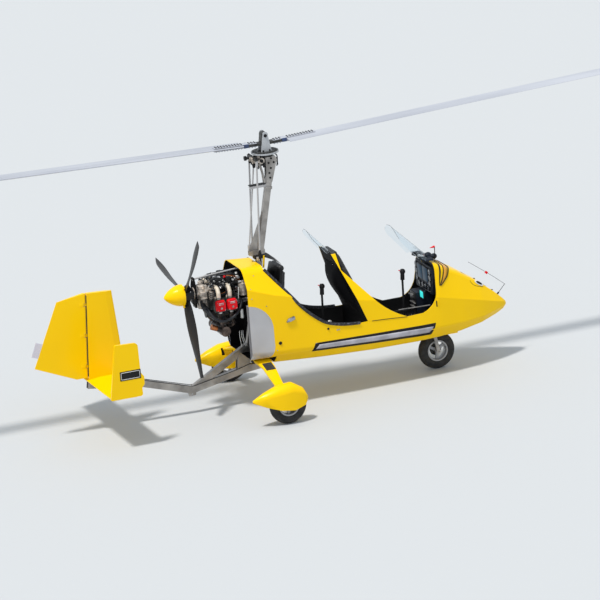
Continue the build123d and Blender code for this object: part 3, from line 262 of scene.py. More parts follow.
def lit_screen(name, colour, strength):
    made = Finish(name, scaled(colour, 0.3), rough=0.3, Specular_IOR_Level=0.12)
    made.shader.inputs["Emission Color"].default_value = (*colour, 1)
    made.shader.inputs["Emission Strength"].default_value = strength
    return made


yellow = painted_yellow()
silver = painted_silver()
steel = brushed_steel()
dull_castings = cast_metal("dull_castings", (0.045, 0.045, 0.042), 0.45, 0.4)
light_castings = cast_metal("light_castings", (0.60, 0.53, 0.46), 0.42, 0.35)
light_alloy = cast_metal("light_alloy", (0.62, 0.62, 0.63), 0.38, 0.85)
bright_bolts = cast_metal("bright_bolts", (0.50, 0.49, 0.47), 0.32, 0.85)
chrome = cast_metal("chrome", (0.85, 0.85, 0.87), 0.08, 1.0)
red_enamel = Finish("red_enamel", RED, rough=0.35, Specular_IOR_Level=0.15)
red_enamel.tint(red_enamel.noise(30.0), scaled(RED, 0.8), RED)
red_enamel.bump(red_enamel.noise(180.0), 0.2, 0.0008)
skin_metal = blade_metal()
black_gel = smooth_plastic("black_gel", BLACK, 0.3, 0.25)
black_trim = smooth_plastic("black_trim", (0.009, 0.009, 0.010), 0.55, 0.25)
deep_black = smooth_plastic("deep_black", (0.004, 0.004, 0.005), 0.7, 0.1)
black_hose = smooth_plastic("black_hose", (0.010, 0.012, 0.016), 0.38, 0.4)
panel_grey = smooth_plastic("panel_grey", (0.011, 0.015, 0.024), 0.45, 0.16)
rod_metal = satin_rod("rod_metal", (0.46, 0.45, 0.45))
tab_metal = satin_rod("tab_metal", (0.68, 0.66, 0.74))
rim_metal = satin_rod("rim_metal", (0.36, 0.36, 0.37))
tower_metal = satin_rod("tower_metal", (0.50, 0.52, 0.54))
cream_castings = smooth_plastic("cream_castings", (0.60, 0.53, 0.43), 0.42)
pale_plastic = smooth_plastic("pale_plastic", (0.72, 0.72, 0.70), 0.4)
amber_band = smooth_plastic("amber_band", (0.70, 0.34, 0.03), 0.3, 0.3)
stripe_grey = smooth_plastic("stripe_grey", (0.42, 0.41, 0.46), 0.35, 0.3)
blue_anodised = smooth_plastic("blue_anodised", (0.03, 0.05, 0.12), 0.3)
copper = heated_steel("copper_pipe", (0.30, 0.09, 0.03), (0.66, 0.26, 0.10))
rubber = tyre_rubber()
leather = seat_leather()
webbing = woven_strap()
trim_rubber = mottled_rubber()
glass = clear_sheet()
carbon = carbon_blade()
exhaust_metal = heated_steel("exhaust_metal", (0.045, 0.036, 0.033), (0.17, 0.13, 0.115))
lamp_metal = cast_metal("lamp_metal", (0.34, 0.35, 0.38), 0.22, 0.75)
cyan_screen = lit_screen("cyan_screen", (0.05, 0.75, 0.72), 0.9)
dark_screen = lit_screen("dark_screen", (0.012, 0.045, 0.085), 0.5)
gauge_face = smooth_plastic("gauge_face", (0.02, 0.03, 0.045), 0.2)

FINISHES = {
    "yellow_gloss": yellow, "silver_paint": silver, "black_gloss": black_gel, "black_plastic": black_trim,
    "frame_steel": steel, "aluminium": light_alloy, "rotor_skin": skin_metal, "tyre": rubber,
    "clear_screen": glass, "seat_cover": leather, "red_paint": red_enamel, "engine_cast": dull_castings,
    "carbon": carbon, "exhaust_steel": exhaust_metal, "panel_black": panel_grey, "lamp_chrome": chrome,
}
NODE_FINISHES = {
    "gearbox": light_castings, "intake": cream_castings, "coolant_hoses": black_hose,
    "rear_bulkhead": deep_black, "gear_bay_floor": deep_black, "brace_plate": deep_black,
    "seat_back_panel": deep_black, "side_lamps": lamp_metal, "control_rods": rod_metal,
    "engine_mount": rod_metal, "trim_tab": tab_metal, "rudder_hinges": yellow, "rim_left": rim_metal,
    "rim_right": rim_metal, "rim_nose": rim_metal, "rotor_tower": tower_metal, "rotor_hub_bar": dull_castings,
    "blade_clamps": skin_metal, "rotor_head": dull_castings, "prerotator": rod_metal,
    "oil_tank": light_castings,
}
for slot, finishes in {
    "yellow_gloss": (yellow, amber_band), "silver_paint": (pale_plastic, stripe_grey),
    "black_gloss": (black_gel,),
    "aluminium": (light_alloy, light_castings, bright_bolts), "frame_steel": (steel,),
    "engine_cast": (dull_castings,), "exhaust_steel": (exhaust_metal, copper), "red_paint": (red_enamel,),
    "panel_black": (panel_grey, gauge_face, dark_screen, cyan_screen), "seat_cover": (leather, webbing),
    "tyre": (rubber,),
}.items():
    for finish in finishes:
        finish.slot = slot


def piece_of(bm, name, finish, body="airframe", slot=None, angle=None):
    """Turns a bmesh into a piece that rides on a body; edges sharper than the angle stay crisp."""
    mesh = bpy.data.meshes.new(name)
    bm.to_mesh(mesh)
    bm.free()
    mesh.shade_smooth()
    if angle is not None:
        mesh.set_sharp_from_angle(angle=radians(angle))
    mesh.materials.append(finish.material)
    piece = bpy.data.objects.new(name, mesh)
    bpy.context.scene.collection.objects.link(piece)
    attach(piece, body)
    slot or finish.slot
    return piece


def thicken(piece, thick, offset=0.0, levels=0):
    """Smooths a sheet by some levels and gives it a wall."""
    if levels:
        finer = piece.modifiers.new("finer", "SUBSURF")
        finer.levels = finer.render_levels = levels
    wall = piece.modifiers.new("wall", "SOLIDIFY")
    wall.thickness, wall.offset = thick, offset
    return piece


def even_shading(piece):
    """Lets large flat faces rule the shading of the small ones beside them."""
    weighted = piece.modifiers.new("weighted", "WEIGHTED_NORMAL")
    weighted.keep_sharp = True
    weighted.weight = 80


def merged_copy(node):
    """A bmesh of a CAD node with its loose triangles joined."""
    bm = bmesh.new()
    bm.from_mesh(nodes[node].data)
    bmesh.ops.remove_doubles(bm, verts=bm.verts, dist=0.00002)
    bmesh.ops.dissolve_limit(bm, angle_limit=radians(0.3), verts=bm.verts, edges=bm.edges)
    return bm


def finish_of(node):
    """A CAD node's own finish, or else its slot's."""
    return NODE_FINISHES.get(node) or FINISHES[slot_of_node[node]]


# Where the hull's middle line runs, and where it starts to sink towards the nose
HULL_MIDDLE_Z = 0.75
NOSE_DROP_X = 1.4


def dress(node, angle=32.0, lining=None, trim=None):
    """Stands a merged, smoothly shaded copy of a CAD node in its place.

    A lining is the finish of the faces that look inwards, towards the node's own middle line.
    """
    bm = merged_copy(node)
    if trim:
        trim(bm)
    for face in bm.faces:
        centre = face.calc_center_median()
        middle_z = (HULL_MIDDLE_Z - max(0, centre.x - NOSE_DROP_X) * 0.18 if node == "fuselage_tub"
                    else centre.z)
        out = Vector((0, centre.y, centre.z - middle_z))
        face.material_index = int(bool(lining) and face.normal.dot(out.normalized()) < -0.1)
    piece = piece_of(bm, node + "_skin", finish_of(node), body_of_node[node], slot_of_node[node], angle)
    if lining:
        piece.data.materials.append(lining.material)
    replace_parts(piece, node)
    even_shading(piece)


HOOD_HALF = 0.205


def crop_hood(bm):
    """Takes the hood's low flaps off, which the hull's rim covers on the real machine."""
    for side in SIDES:
        geometry = bm.verts[:] + bm.edges[:] + bm.faces[:]
        bmesh.ops.bisect_plane(bm, geom=geometry, plane_co=(0, side * HOOD_HALF, 0), plane_no=(0, side, 0),
                               clear_outer=True)
    bmesh.ops.holes_fill(bm, edges=[edge for edge in bm.edges if edge.is_boundary], sides=0)


PROP_HUB = Vector((-0.974, 0, 1.262))
# The first blade's angle, in degrees, and the radius where the blades leave the spinner
FIRST_BLADE = 9.8
BLADE_ROOT = 0.085
# columns: distance from the hub, the solid's pitch, the real blade's pitch, how much wider its chord is
BLADE_STATIONS = ((0.0, 40, 40, 1.0), (0.06, 40, 40, 1.0), (0.24, 32, 27, 1.0), (0.56, 22, 11, 1.25),
                  (0.78, 18.5, 7, 1.45), (0.90, 16, 6, 1.45))


def blade_station(reach):
    """Both pitches and the chord's factor at some distance from the hub."""
    for one, two in zip(BLADE_STATIONS, BLADE_STATIONS[1:]):
        if reach <= two[0]:
            share = (reach - one[0]) / (two[0] - one[0])
            return [a + (b - a) * share for a, b in zip(one[1:], two[1:])]
    return list(two[1:])


def flatten_blades(bm):
    """Gives the propeller's blades less pitch and more chord towards their tips."""
    for vert in bm.verts:
        arm = vert.co - PROP_HUB
        reach = Vector((0, arm.y, arm.z)).length
        if reach < BLADE_ROOT:
            continue
        blade = round((atan2(arm.z, arm.y) - radians(FIRST_BLADE)) / radians(120))
        turn = radians(FIRST_BLADE + 120 * blade)
        out, back = Vector((0, cos(turn), sin(turn))), Vector((0, sin(turn), -cos(turn)))
        old, new, wider = blade_station(reach)
        old, new = radians(old), radians(new)
        run, rise = arm.dot(back), arm.x
        chord = (run * cos(old) + rise * sin(old)) * wider
        thick = rise * cos(old) - run * sin(old)
        vert.co = PROP_HUB + out * arm.dot(out) + back * (chord * cos(new) - thick * sin(new))
        vert.co.x += chord * sin(new) + thick * cos(new)


for node, thing in nodes.items():
    thing.data.materials.clear()
    thing.data.materials.append(finish_of(node).material)

dress("fuselage_tub", angle=28, lining=black_trim)
dress("seat_fairing", angle=28, lining=black_trim)
for node in ("fuel_tanks", "gear_bow", "fin", "rudder", "stabiliser", "end_plates", "spinner", "wheel_spats",
             "rocker_covers", "windscreens", "seats", "gearbox", "rim_left", "rim_right",
             "rim_nose", "exhaust", "intake", "coolant_hoses", "rotor_blades", "side_lamps",
             "seat_back_panel", "crankcase", "rotor_head", "mast", "oil_tank", "bow_clamps"):
    dress(node, angle=70 if node == "wheel_spats" else 32,
          lining=deep_black if node == "fuel_tanks" else None)
dress("glare_shield", trim=crop_hood)
dress("propeller", trim=flatten_blades)


# Small solids
def aim(start, end):
    """The place and turn of a piece that runs from one point to another."""
    run = end - start
    return Matrix.Translation((start + end) / 2) @ run.to_track_quat("Z", "Y").to_matrix().to_4x4()


class Group:
    """Small solids of one finish on one body, gathered into one piece."""

    def __init__(self, name, finish, body="airframe", slot=None):
        self.name, self.finish, self.body, self.slot = name, finish, body, slot
        self.bm = bmesh.new()

    def rod(self, start, end, radius, tip=None, sides=16):
        start, end = Vector(start), Vector(end)
        bmesh.ops.create_cone(self.bm, cap_ends=True, segments=sides, radius1=radius,
                              radius2=radius if tip is None else tip, depth=(end - start).length,
                              matrix=aim(start, end))
        return self

    def block(self, low, high, soft=0.002, turn=None):
        low, high = Vector(low), Vector(high)
        place = Matrix.Translation((low + high) / 2) @ (turn or Matrix())
        made = bmesh.ops.create_cube(self.bm, size=1, matrix=place @ Matrix.Diagonal((*(high - low), 1)))
        if soft:
            edges = list({edge for vert in made["verts"] for edge in vert.link_edges})
            bmesh.ops.bevel(self.bm, geom=edges, offset=soft, segments=2, profile=0.5, affect="EDGES",
                            material=-1)
        return self

    def slab(self, middle, half, soft=0.002, turn=None):
        """A block by its middle and half its size."""
        middle, half = Vector(middle), Vector(half)
        return self.block(middle - half, middle + half, soft, turn)

    def ball(self, centre, radii, sides=16, rings=None, turn=None):
        place = Matrix.Translation(centre) @ (turn or Matrix()) @ Matrix.Diagonal((*radii, 1))
        bmesh.ops.create_uvsphere(self.bm, u_segments=sides, v_segments=rings or sides // 2, radius=1,
                                  matrix=place)
        return self

    def bolt(self, place, out, radius=0.006):
        """A washer and a six-sided head, standing out from a surface."""
        place, out = Vector(place), Vector(out).normalized()
        self.rod(place - out * 0.001, place + out * radius * 0.3, radius * 1.35, sides=14)
        return self.rod(place, place + out * radius * 1.1, radius, radius * 0.92, sides=6)

    def band(self, place, along, radius, wide=0.01):
        """A clamp round a pipe."""
        along = Vector(along).normalized() * wide / 2
        return self.rod(Vector(place) - along, Vector(place) + along, radius, sides=20)

    def done(self, angle=30.0):
        bmesh.ops.recalc_face_normals(self.bm, faces=self.bm.faces)
        return piece_of(self.bm, self.name, self.finish, self.body, self.slot, angle)


def finish_groups(*groups):
    for group in groups:
        group.done()


def on_side(value, side):
    """A place or direction, or each one in a list, on one side of the machine; other values as they are."""
    if isinstance(value, list):
        return [on_side(one, side) for one in value]
    if isinstance(value, tuple):
        return (value[0], side * value[1], value[2])
    return value


def both(make, *values, **options):
    """Makes the same thing on the left and on the right."""
    for side in SIDES:
        make(*(on_side(value, side) for value in values), **options)


def circle(radius, count, first=0.0):
    """Pairs of offsets, evenly spaced round a circle."""
    for k in range(count):
        turn = radians(first + 360 / count * k)
        yield radius * cos(turn), radius * sin(turn)


def bent_tube(name, points, radius, finish):
    """A pipe or clipped hose on a smooth line."""
    curve = bpy.data.curves.new(name, "CURVE")
    curve.dimensions = "3D"
    curve.bevel_depth, curve.bevel_resolution, curve.use_fill_caps = radius, 2, True
    curve.resolution_u = 6
    line = curve.splines.new("NURBS")
    line.points.add(len(points) - 1)
    for point, place in zip(line.points, points):
        point.co = (*place, 1)
    line.order_u = 3
    line.use_endpoint_u = True
    curve.materials.append(finish.material)
    tube = bpy.data.objects.new(name, curve)
    bpy.context.scene.collection.objects.link(tube)
    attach(tube, "airframe")


def tree_of(*names):
    """A search tree over some CAD nodes' faces."""
    bm = bmesh.new()
    for name in names:
        bm.from_mesh(nodes[name].data)
    return BVHTree.FromBMesh(bm)


def touch(tree, start, direction):
    """Where a ray first meets a surface."""
    return tree.ray_cast(Vector(start), Vector(direction))[0]


hull = tree_of("fuselage_tub")


def flank(x, z, side=-1, proud=0.0):
    """The point of the hull's side at some length and height, or a little lower where it's cut away."""
    for drop in range(12):
        place = touch(hull, (x, side * 2, z - drop * 0.01), (0, -side, 0))
        if place:
            return Vector((x, place.y + side * proud, z))
    raise ValueError(f"no hull at {x}, {z}")


def crown(x, y=0.0, proud=0.0):
    """The point of the hull's top at some length and width."""
    return touch(hull, (x, y, 3), (0, 0, -1)) + Vector((0, 0, proud))


def on_skin(place):
    """The hull's nearest point."""
    return hull.find_nearest(Vector(place))[0]


# Engine, about its crankshaft's height
ENGINE_Z = 1.16
CYLINDERS = ((-0.716, 1), (-0.594, 1), (-0.702, -1), (-0.580, -1))
MANIFOLD_Z = ENGINE_Z + 0.168
GEAR_Z = 1.242
GEAR_REAR_X = -0.845


def dress_covers():
    """Raised ribs and corner bolts on the four red covers."""
    ribs, bolts = Group("cover_ribs", light_alloy), Group("cover_bolts", bright_bolts)
    for x, side in CYLINDERS:
        for up in (0.032, 0.018):
            ribs.slab((x, side * 0.300, ENGINE_Z + up), (0.026, 0.002, 0.0035), 0.0015)
        bolts.bolt((x, side * 0.3, ENGINE_Z - 0.020), (0, side, 0), 0.008)
        for along in (-0.038, 0.038):
            for up in (-0.042, 0.042):
                bolts.bolt((x + along, side * 0.298, ENGINE_Z + up), (0, side, 0), 0.0045)
    finish_groups(ribs, bolts)


def dress_engine():
    """Bolts, clamps, filters and hoses that fill the engine's outline."""
    bolts, clamps = Group("engine_bolts", bright_bolts), Group("hose_clamps", bright_bolts)
    dark, pale = Group("engine_dark_parts", black_trim), Group("engine_pale_parts", light_castings)
    sump = Group("sump_castings", dull_castings)
    for y, up in circle(0.082, 12):
        bolts.bolt((GEAR_REAR_X, y, GEAR_Z + up), (-1, 0, 0))
    for y, up in circle(0.093, 9):
        pale.rod((-0.777, y, GEAR_Z + up), (-0.843, y, GEAR_Z + up), 0.009, sides=10)
    for z in (1.13, 1.40):
        both(bolts.bolt, (-0.888, 0.02, z), (-1, 0, 0))
    for x in (-0.745, -0.655, -0.565):
        for up in (1, -1):
            both(bolts.bolt, (x, 0.088, ENGINE_Z + up * 0.075), (0, 1, up * 0.6))
    for x in (-0.70, -0.61, -0.545):
        both(bolts.bolt, (x, 0.137, 1.382), (0, 1, 0), 0.005)
    both(pale.block, (-0.80, 0.05, 1.275), (-0.765, 0.115, 1.345), 0.008)
    both(pale.rod, (-0.775, 0.10, 1.31), (-0.66, 0.115, 1.315), 0.022)
    both(pale.rod, (-0.86, 0.045, 1.165), (-0.80, 0.045, 1.165), 0.03, 0.036)
    both(pale.block, (-0.765, 0.10, 1.20), (-0.72, 0.165, 1.29), 0.012)
    for k in range(7):
        start = -0.452 + 0.004 * k
        both(pale.rod, (start, 0.044, MANIFOLD_Z), (start + 0.002, 0.044, MANIFOLD_Z), 0.031, sides=24)
    both(dark.rod, (-0.50, 0.13, 1.085), (-0.50, 0.225, 1.085), 0.034)
    both(dark.rod, (-0.515, 0.09, 1.20), (-0.515, 0.235, 1.235), 0.018)
    for low, high, soft in (((-0.69, 0.085, 1.36), (-0.60, 0.135, 1.40), 0.008),
                            ((-0.58, 0.085, 1.35), (-0.53, 0.15, 1.41), 0.008),
                            ((-0.66, 0.15, 1.05), (-0.62, 0.245, 1.10), 0.01),
                            ((-0.785, 0.10, 1.04), (-0.70, 0.20, 1.09), 0.012)):
        both(dark.block, low, high, soft)
    for z in (1.215, 1.235, 1.255, 1.275):
        both(dark.block, (-0.768, 0.12, z - 0.003), (-0.717, 0.169, z + 0.003), 0.001)
    for x, side in CYLINDERS:
        def at(along, out, up):
            return (x + along, side * out, ENGINE_Z + up)
        clamps.band(at(0, 0.232, 0.075), (0, 0, 1), 0.024, 0.012)
        clamps.band(at(0.008, 0.078, 0.168), (0, 1, 0), 0.024)
        clamps.band(at(0, 0.236, -0.078), (0, 0, 1), 0.027, 0.014)
        pale.rod(at(-0.03, 0.215, 0.06), at(-0.03, 0.215, 0.10), 0.008)
        dark.rod(at(-0.03, 0.215, 0.09), at(-0.03, 0.215, 0.125), 0.011)
        bent_tube("plug_lead", [at(-0.03, 0.215, 0.12), at(-0.03, 0.21, 0.17), at(-0.06, 0.14, 0.20),
                                (-0.755, side * 0.06, ENGINE_Z + 0.205),
                                (-0.755, side * 0.04, ENGINE_Z + 0.165)],
                  0.0045, black_hose)
        bent_tube("coolant_branch", [at(0, 0.20, -0.06), at(0.01, 0.20, -0.12), at(0.03, 0.27, -0.15)], 0.011,
                  black_hose)
    both(sump.block, (-0.75, 0.02, 0.995), (-0.53, 0.135, 1.058), 0.012)
    for k in range(9):
        start = -0.745 + 0.024 * k
        both(sump.block, (start, 0.03, 0.985), (start + 0.010, 0.145, 1.06), 0.001)
    both(sump.block, (-0.73, 0.14, 1.04), (-0.55, 0.225, 1.075), 0.012)
    both(sump.rod, (-0.71, 0.10, 1.02), (-0.56, 0.13, 0.96), 0.030)
    finish_groups(bolts, dark, pale, clamps, sump)
    # columns: name, radius, finish, places
    hoses = (
        ("exhaust_stub", 0.020, exhaust_metal, [(-0.70, 0.21, 1.06), (-0.69, 0.215, 1.0), (-0.66, 0.19, 0.95),
                                                (-0.60, 0.16, 0.94)]),
        ("upper_hose", 0.014, black_hose, [(-0.47, 0.07, 1.26), (-0.50, 0.14, 1.30), (-0.58, 0.155, 1.335),
                                           (-0.68, 0.15, 1.31), (-0.74, 0.10, 1.25)]),
        ("top_hose", 0.011, black_hose, [(-0.46, 0.02, 1.33), (-0.44, 0.05, 1.40), (-0.52, 0.09, 1.415),
                                         (-0.62, 0.04, 1.415), (-0.70, 0.07, 1.39)]),
        ("fuel_line", 0.005, copper, [(-0.49, 0.05, 1.26), (-0.54, 0.16, 1.25), (-0.62, 0.165, 1.27),
                                      (-0.72, 0.13, 1.21)]),
        ("rear_hose", 0.015, black_hose, [(-0.83, 0.06, 1.18), (-0.86, 0.13, 1.17), (-0.85, 0.20, 1.12),
                                          (-0.79, 0.255, 1.05)]),
        ("case_wire", 0.004, black_hose, [(-0.76, 0.12, 1.25), (-0.70, 0.16, 1.23), (-0.60, 0.17, 1.245),
                                          (-0.50, 0.15, 1.22), (-0.42, 0.10, 1.25)]),
    )
    for name, radius, finish, places in hoses:
        both(bent_tube, name, places, radius, finish)
    bent_tube("copper_pipe", [(-0.56, -0.10, 1.408), (-0.50, -0.105, 1.40), (-0.45, -0.10, 1.372),
                              (-0.424, -0.09, 1.34)], 0.011, copper)
    bent_tube("breather", [(-0.471, -0.20, 1.30), (-0.475, -0.205, 1.25), (-0.483, -0.20, 1.18)], 0.006,
              pale_plastic)
    for start, foot in ((-0.487, -0.477), (-0.466, -0.434), (-0.45, -0.42)):
        bent_tube("bay_cable", [(start, -0.16, 0.83), (start - 0.006, -0.165, 0.79), (start, -0.165, 0.74),
                                (foot, -0.16, 0.66)], 0.0028, pale_plastic)


def add_loom():
    """Wires, clips and small fittings over the engine's top and sides."""
    draw = Random(11)
    clips, pale = Group("loom_clips", light_alloy), Group("loom_plugs", pale_plastic)
    warm, dark = Group("loom_tags", red_enamel), Group("loom_boxes", black_trim)
    for k in range(76):
        side = 1 if k % 3 == 0 else -1
        x, run = draw.uniform(-0.77, -0.56), draw.uniform(0.06, 0.20)
        y, z = side * draw.uniform(0.05, 0.165), draw.uniform(1.285, 1.405)
        if abs(y) > 0.13:
            z = min(z, 1.34)
        line = [(x, y, z)]
        for share in (0.3, 0.65, 1.0):
            line.append((min(-0.43, x + run * share), y + side * draw.uniform(-0.035, 0.02),
                         min(1.412, z + draw.uniform(-0.03, 0.035))))
        bent_tube("loom_wire", line, draw.uniform(0.003, 0.0075),
                  draw.choice((black_hose, black_hose, black_trim)))
        clips.band(line[1], Vector(line[2]) - Vector(line[0]), 0.0095, 0.007)
        group = draw.choice((clips, clips, pale, dark, dark, warm if k % 2 else clips))
        half = (draw.uniform(0.006, 0.016), draw.uniform(0.005, 0.011), draw.uniform(0.004, 0.010))
        group.slab(Vector(line[3]) + Vector((0, side * 0.008, 0)), half)
    for k in range(34):
        x, y, z = draw.uniform(-0.76, -0.47), draw.uniform(-0.17, 0.12), draw.uniform(1.385, 1.408)
        run = draw.uniform(0.006, 0.014)
        group = draw.choice((clips, clips, pale, pale, dark))
        group.rod((x, y, z), (x + run, y - 0.6 * run, z + draw.uniform(0, 0.006)), draw.uniform(0.003, 0.006),
                  sides=8)
    for k in range(16):
        x, z = draw.uniform(-0.77, -0.50), draw.uniform(1.09, 1.27)
        side = 1 if k % 2 else -1
        clips.bolt((x, side * 0.094, z), (0, side, 0), draw.uniform(0.005, 0.009))
    finish_groups(clips, pale, warm, dark)


def dress_exhaust():
    """The tail pipe's tip, the muffler's straps and the bottle in the gear bay."""
    tip = Group("exhaust_tip", copper)
    tip.rod((-0.722, -0.15, ENGINE_Z - 0.267), (-0.779, -0.15, ENGINE_Z - 0.240), 0.027, 0.029, 24).done()
    straps = Group("muffler_straps", bright_bolts)
    for y in (-0.12, 0.12):
        straps.band((-0.64, y, ENGINE_Z - 0.305), (0, 1, 0), 0.0545)
    straps.done()
    bottle = Group("bay_bottles", pale_plastic)
    bottle.rod((-0.470, -0.235, 0.985), (-0.470, -0.235, 1.075), 0.017, 0.015).done()


# The hub bar's middle, and how much each side of it rises
BAR_Z = 2.681
BAR_RISE = 0.0384


def dress_rotor_head():
    """Bolts and blocks of the head, the clamps and the tower."""
    bolts = Group("head_bolts", black_trim)
    for z, x in ((2.475, 0.02), (2.475, 0.075), (2.42, 0.04), (2.37, 0.02), (2.32, 0.025), (2.52, 0.05)):
        both(bolts.bolt, (x, 0.029, z), (0, 1, 0), 0.008)
    for x in (-0.135, -0.19):
        both(bolts.bolt, (x, 0.016, 2.557), (0, 1, 0), 0.007)
    both(bolts.bolt, (-0.135, 0.11, 2.562), (0, 0, 1), 0.008)
    for x in (0.035, -0.03):
        bolts.bolt((x, -0.044, 2.556), (0, -1, 0), 0.012)
    cast = Group("head_castings", light_castings)
    cast.block((-0.098, -0.034, 2.490), (-0.034, 0.034, 2.572), 0.006)
    cast.rod((-0.118, -0.062, 2.522), (-0.118, 0.062, 2.522), 0.026, sides=24)
    cast.rod((-0.06, -0.052, 2.515), (-0.06, 0.052, 2.515), 0.032, sides=24)
    cast.rod((-0.150, -0.030, 2.560), (-0.150, -0.030, 2.500), 0.018, 0.014)
    cast.block((-0.178, -0.020, 2.520), (-0.128, 0.020, 2.568), 0.005)
    caps = Group("head_caps", black_trim)
    both(caps.rod, (-0.118, 0.060, 2.522), (-0.118, 0.068, 2.522), 0.015, 0.012, 20)
    both(caps.rod, (-0.06, 0.050, 2.515), (-0.06, 0.057, 2.515), 0.020, 0.016, 20)
    both(caps.block, (-0.045, 0.030, 2.440), (-0.020, 0.042, 2.575))
    both(caps.block, (-0.170, 0.022, 2.490), (-0.140, 0.040, 2.515), 0.003)
    caps.rod((-0.124, 0.016, 2.50), (-0.124, 0.016, 2.44), 0.022, 0.013, 20)
    caps.rod((-0.09, -0.020, 2.49), (-0.095, -0.020, 2.43), 0.014, 0.010)
    finish_groups(bolts, cast, caps)
    bent_tube("head_damper", [(-0.085, -0.030, 2.485), (-0.062, -0.034, 2.42), (-0.052, -0.034, 2.34),
                              (-0.040, -0.030, 2.285)], 0.012, steel)
    bent_tube("head_cable", [(0.070, -0.020, 2.565), (0.118, -0.020, 2.560), (0.122, -0.020, 2.49),
                             (0.108, -0.022, 2.43)], 0.006, black_hose)
    bent_tube("head_wire", [(-0.16, -0.04, 2.545), (-0.10, -0.07, 2.560), (-0.04, -0.06, 2.50),
                            (-0.02, -0.034, 2.40), (-0.05, -0.031, 2.26)], 0.004, black_hose)
    dark = Group("head_dark_parts", black_trim)
    dark.block((-0.07, -0.046, 2.533), (-0.05, 0.046, 2.575), 0.003)
    dark.rod((0.115, -0.02, 2.52), (0.118, -0.02, 2.44), 0.007)
    dark.band((-0.124, 0.016, 2.50), (0, 0, 1), 0.018, 0.05)
    dark.block((-0.20, -0.03, 2.262), (-0.035, 0.03, 2.27))
    dark.band((-0.215, 0.0, 2.557), (1, 0, 0), 0.024, 0.02)
    ring_top = touch(tree_of("rotor_tower"), (0.128, 0, 3), (0, 0, -1)).z
    cover = Group("ring_cover", dull_castings, "rotor_tower")
    cover.rod((0, 0, ring_top), (0, 0, ring_top + 0.002), 0.133, sides=56)
    for x, y in circle(0.108, 12):
        cover.rod((x, y, ring_top), (x, y, ring_top + 0.004), 0.016)
    tower = Group("tower_bolts", black_trim, "rotor_tower")
    both(tower.bolt, (0, 0.0555, 2.77), (0, 1, 0), 0.013)
    for x in (-0.035, 0.035):
        both(tower.bolt, (x, 0.0555, 2.615), (0, 1, 0), 0.007)
    for x, y in circle(0.115, 8, 22.5):
        tower.bolt((x, y, 2.602), (0, 0, 1))
    clamps = Group("clamp_bolts", black_trim, "rotor")
    blocks = Group("blade_root_blocks", blue_anodised, "rotor")
    for side in SIDES:
        for x in (0.105, 0.135, 0.165, 0.25, 0.28, 0.31, 0.34, 0.37, 0.40, 0.43, 0.46, 0.49, 0.52):
            for up in (1, -1):
                both(clamps.bolt, (side * x, 0.018, BAR_Z + x * BAR_RISE + up * 0.0194), (0, 0, up), 0.0065)
        blocks.slab((side * 0.205, 0, BAR_Z + 0.205 * BAR_RISE), (0.026, 0.046, 0.0185), 0.003)
    finish_groups(dark, cover, tower, clamps, blocks)


def dress_propeller():
    """Root cuffs, bolts and the yellow patches where the blades pass the spinner."""
    cuffs = Group("blade_cuffs", deep_black, "propeller")
    bolts = Group("cuff_bolts", bright_bolts, "propeller")
    patches = Group("blade_patches", yellow, "propeller")
    for k in range(3):
        turn = radians(FIRST_BLADE + 120 * k)
        out, across = Vector((0, cos(turn), sin(turn))), Vector((0, -sin(turn), cos(turn)))
        cuffs.rod(PROP_HUB + out * 0.055, PROP_HUB + out * 0.125, 0.036, 0.030, 20)
        for side in SIDES:
            for ahead in (-1, 1):
                bolts.bolt(PROP_HUB + out * 0.075 + across * side * 0.030 + Vector((ahead * 0.030, 0, 0)),
                           (ahead, 0, 0))
        patches.slab(PROP_HUB + out * 0.112 - Vector((0.0385, 0, 0)), (0.0065, 0.018, 0.022), 0.003,
                     Matrix.Rotation(turn - pi / 2, 4, "X"))
    finish_groups(cuffs, bolts, patches)


def dress_mast():
    """The mast's two bands, the dark parts at its foot and the strip on its cover."""
    bands = Group("mast_band", steel)
    for x, z in ((0.001, 2.22), (-0.142, 1.56)):
        bands.slab((x, 0, z), (0.036, 0.031, 0.015), 0.003, Matrix.Rotation(radians(12.1), 4, "Y"))
    dark = Group("mast_dark_parts", black_trim)
    dark.block((-0.026, -0.020, 2.045), (-0.008, 0.020, 2.085), 0.003)
    both(dark.rod, (-0.1862, 0.11, 1.50), (-0.182, 0.11, 1.585), 0.016)
    both(dark.rod, (-0.182, 0.11, 1.585), (-0.1805, 0.11, 1.615), 0.016, 0.010)
    dark.block((-0.215, -0.034, 1.50), (-0.10, 0.034, 1.545), 0.004)
    strip = Group("yellow_cover_strip", yellow)
    strip.block((-0.132, -0.036, 1.40), (-0.112, -0.028, 1.53), 0.002, Matrix.Rotation(radians(8), 4, "Y"))
    finish_groups(bands, dark, strip)


STRAP_WIDTH = 0.045


def belt(name, points):
    """A flat strap along a given line; each point holds the direction across it."""
    bm = bmesh.new()
    rows = []
    for place, across in points:
        half = Vector(across).normalized() * STRAP_WIDTH / 2
        rows.append([bm.verts.new(Vector(place) - half), bm.verts.new(Vector(place) + half)])
    for (a, b), (c, d) in zip(rows, rows[1:]):
        bm.faces.new((a, b, d, c))
    thicken(piece_of(bm, name, webbing), 0.0022, -1.0, 2)


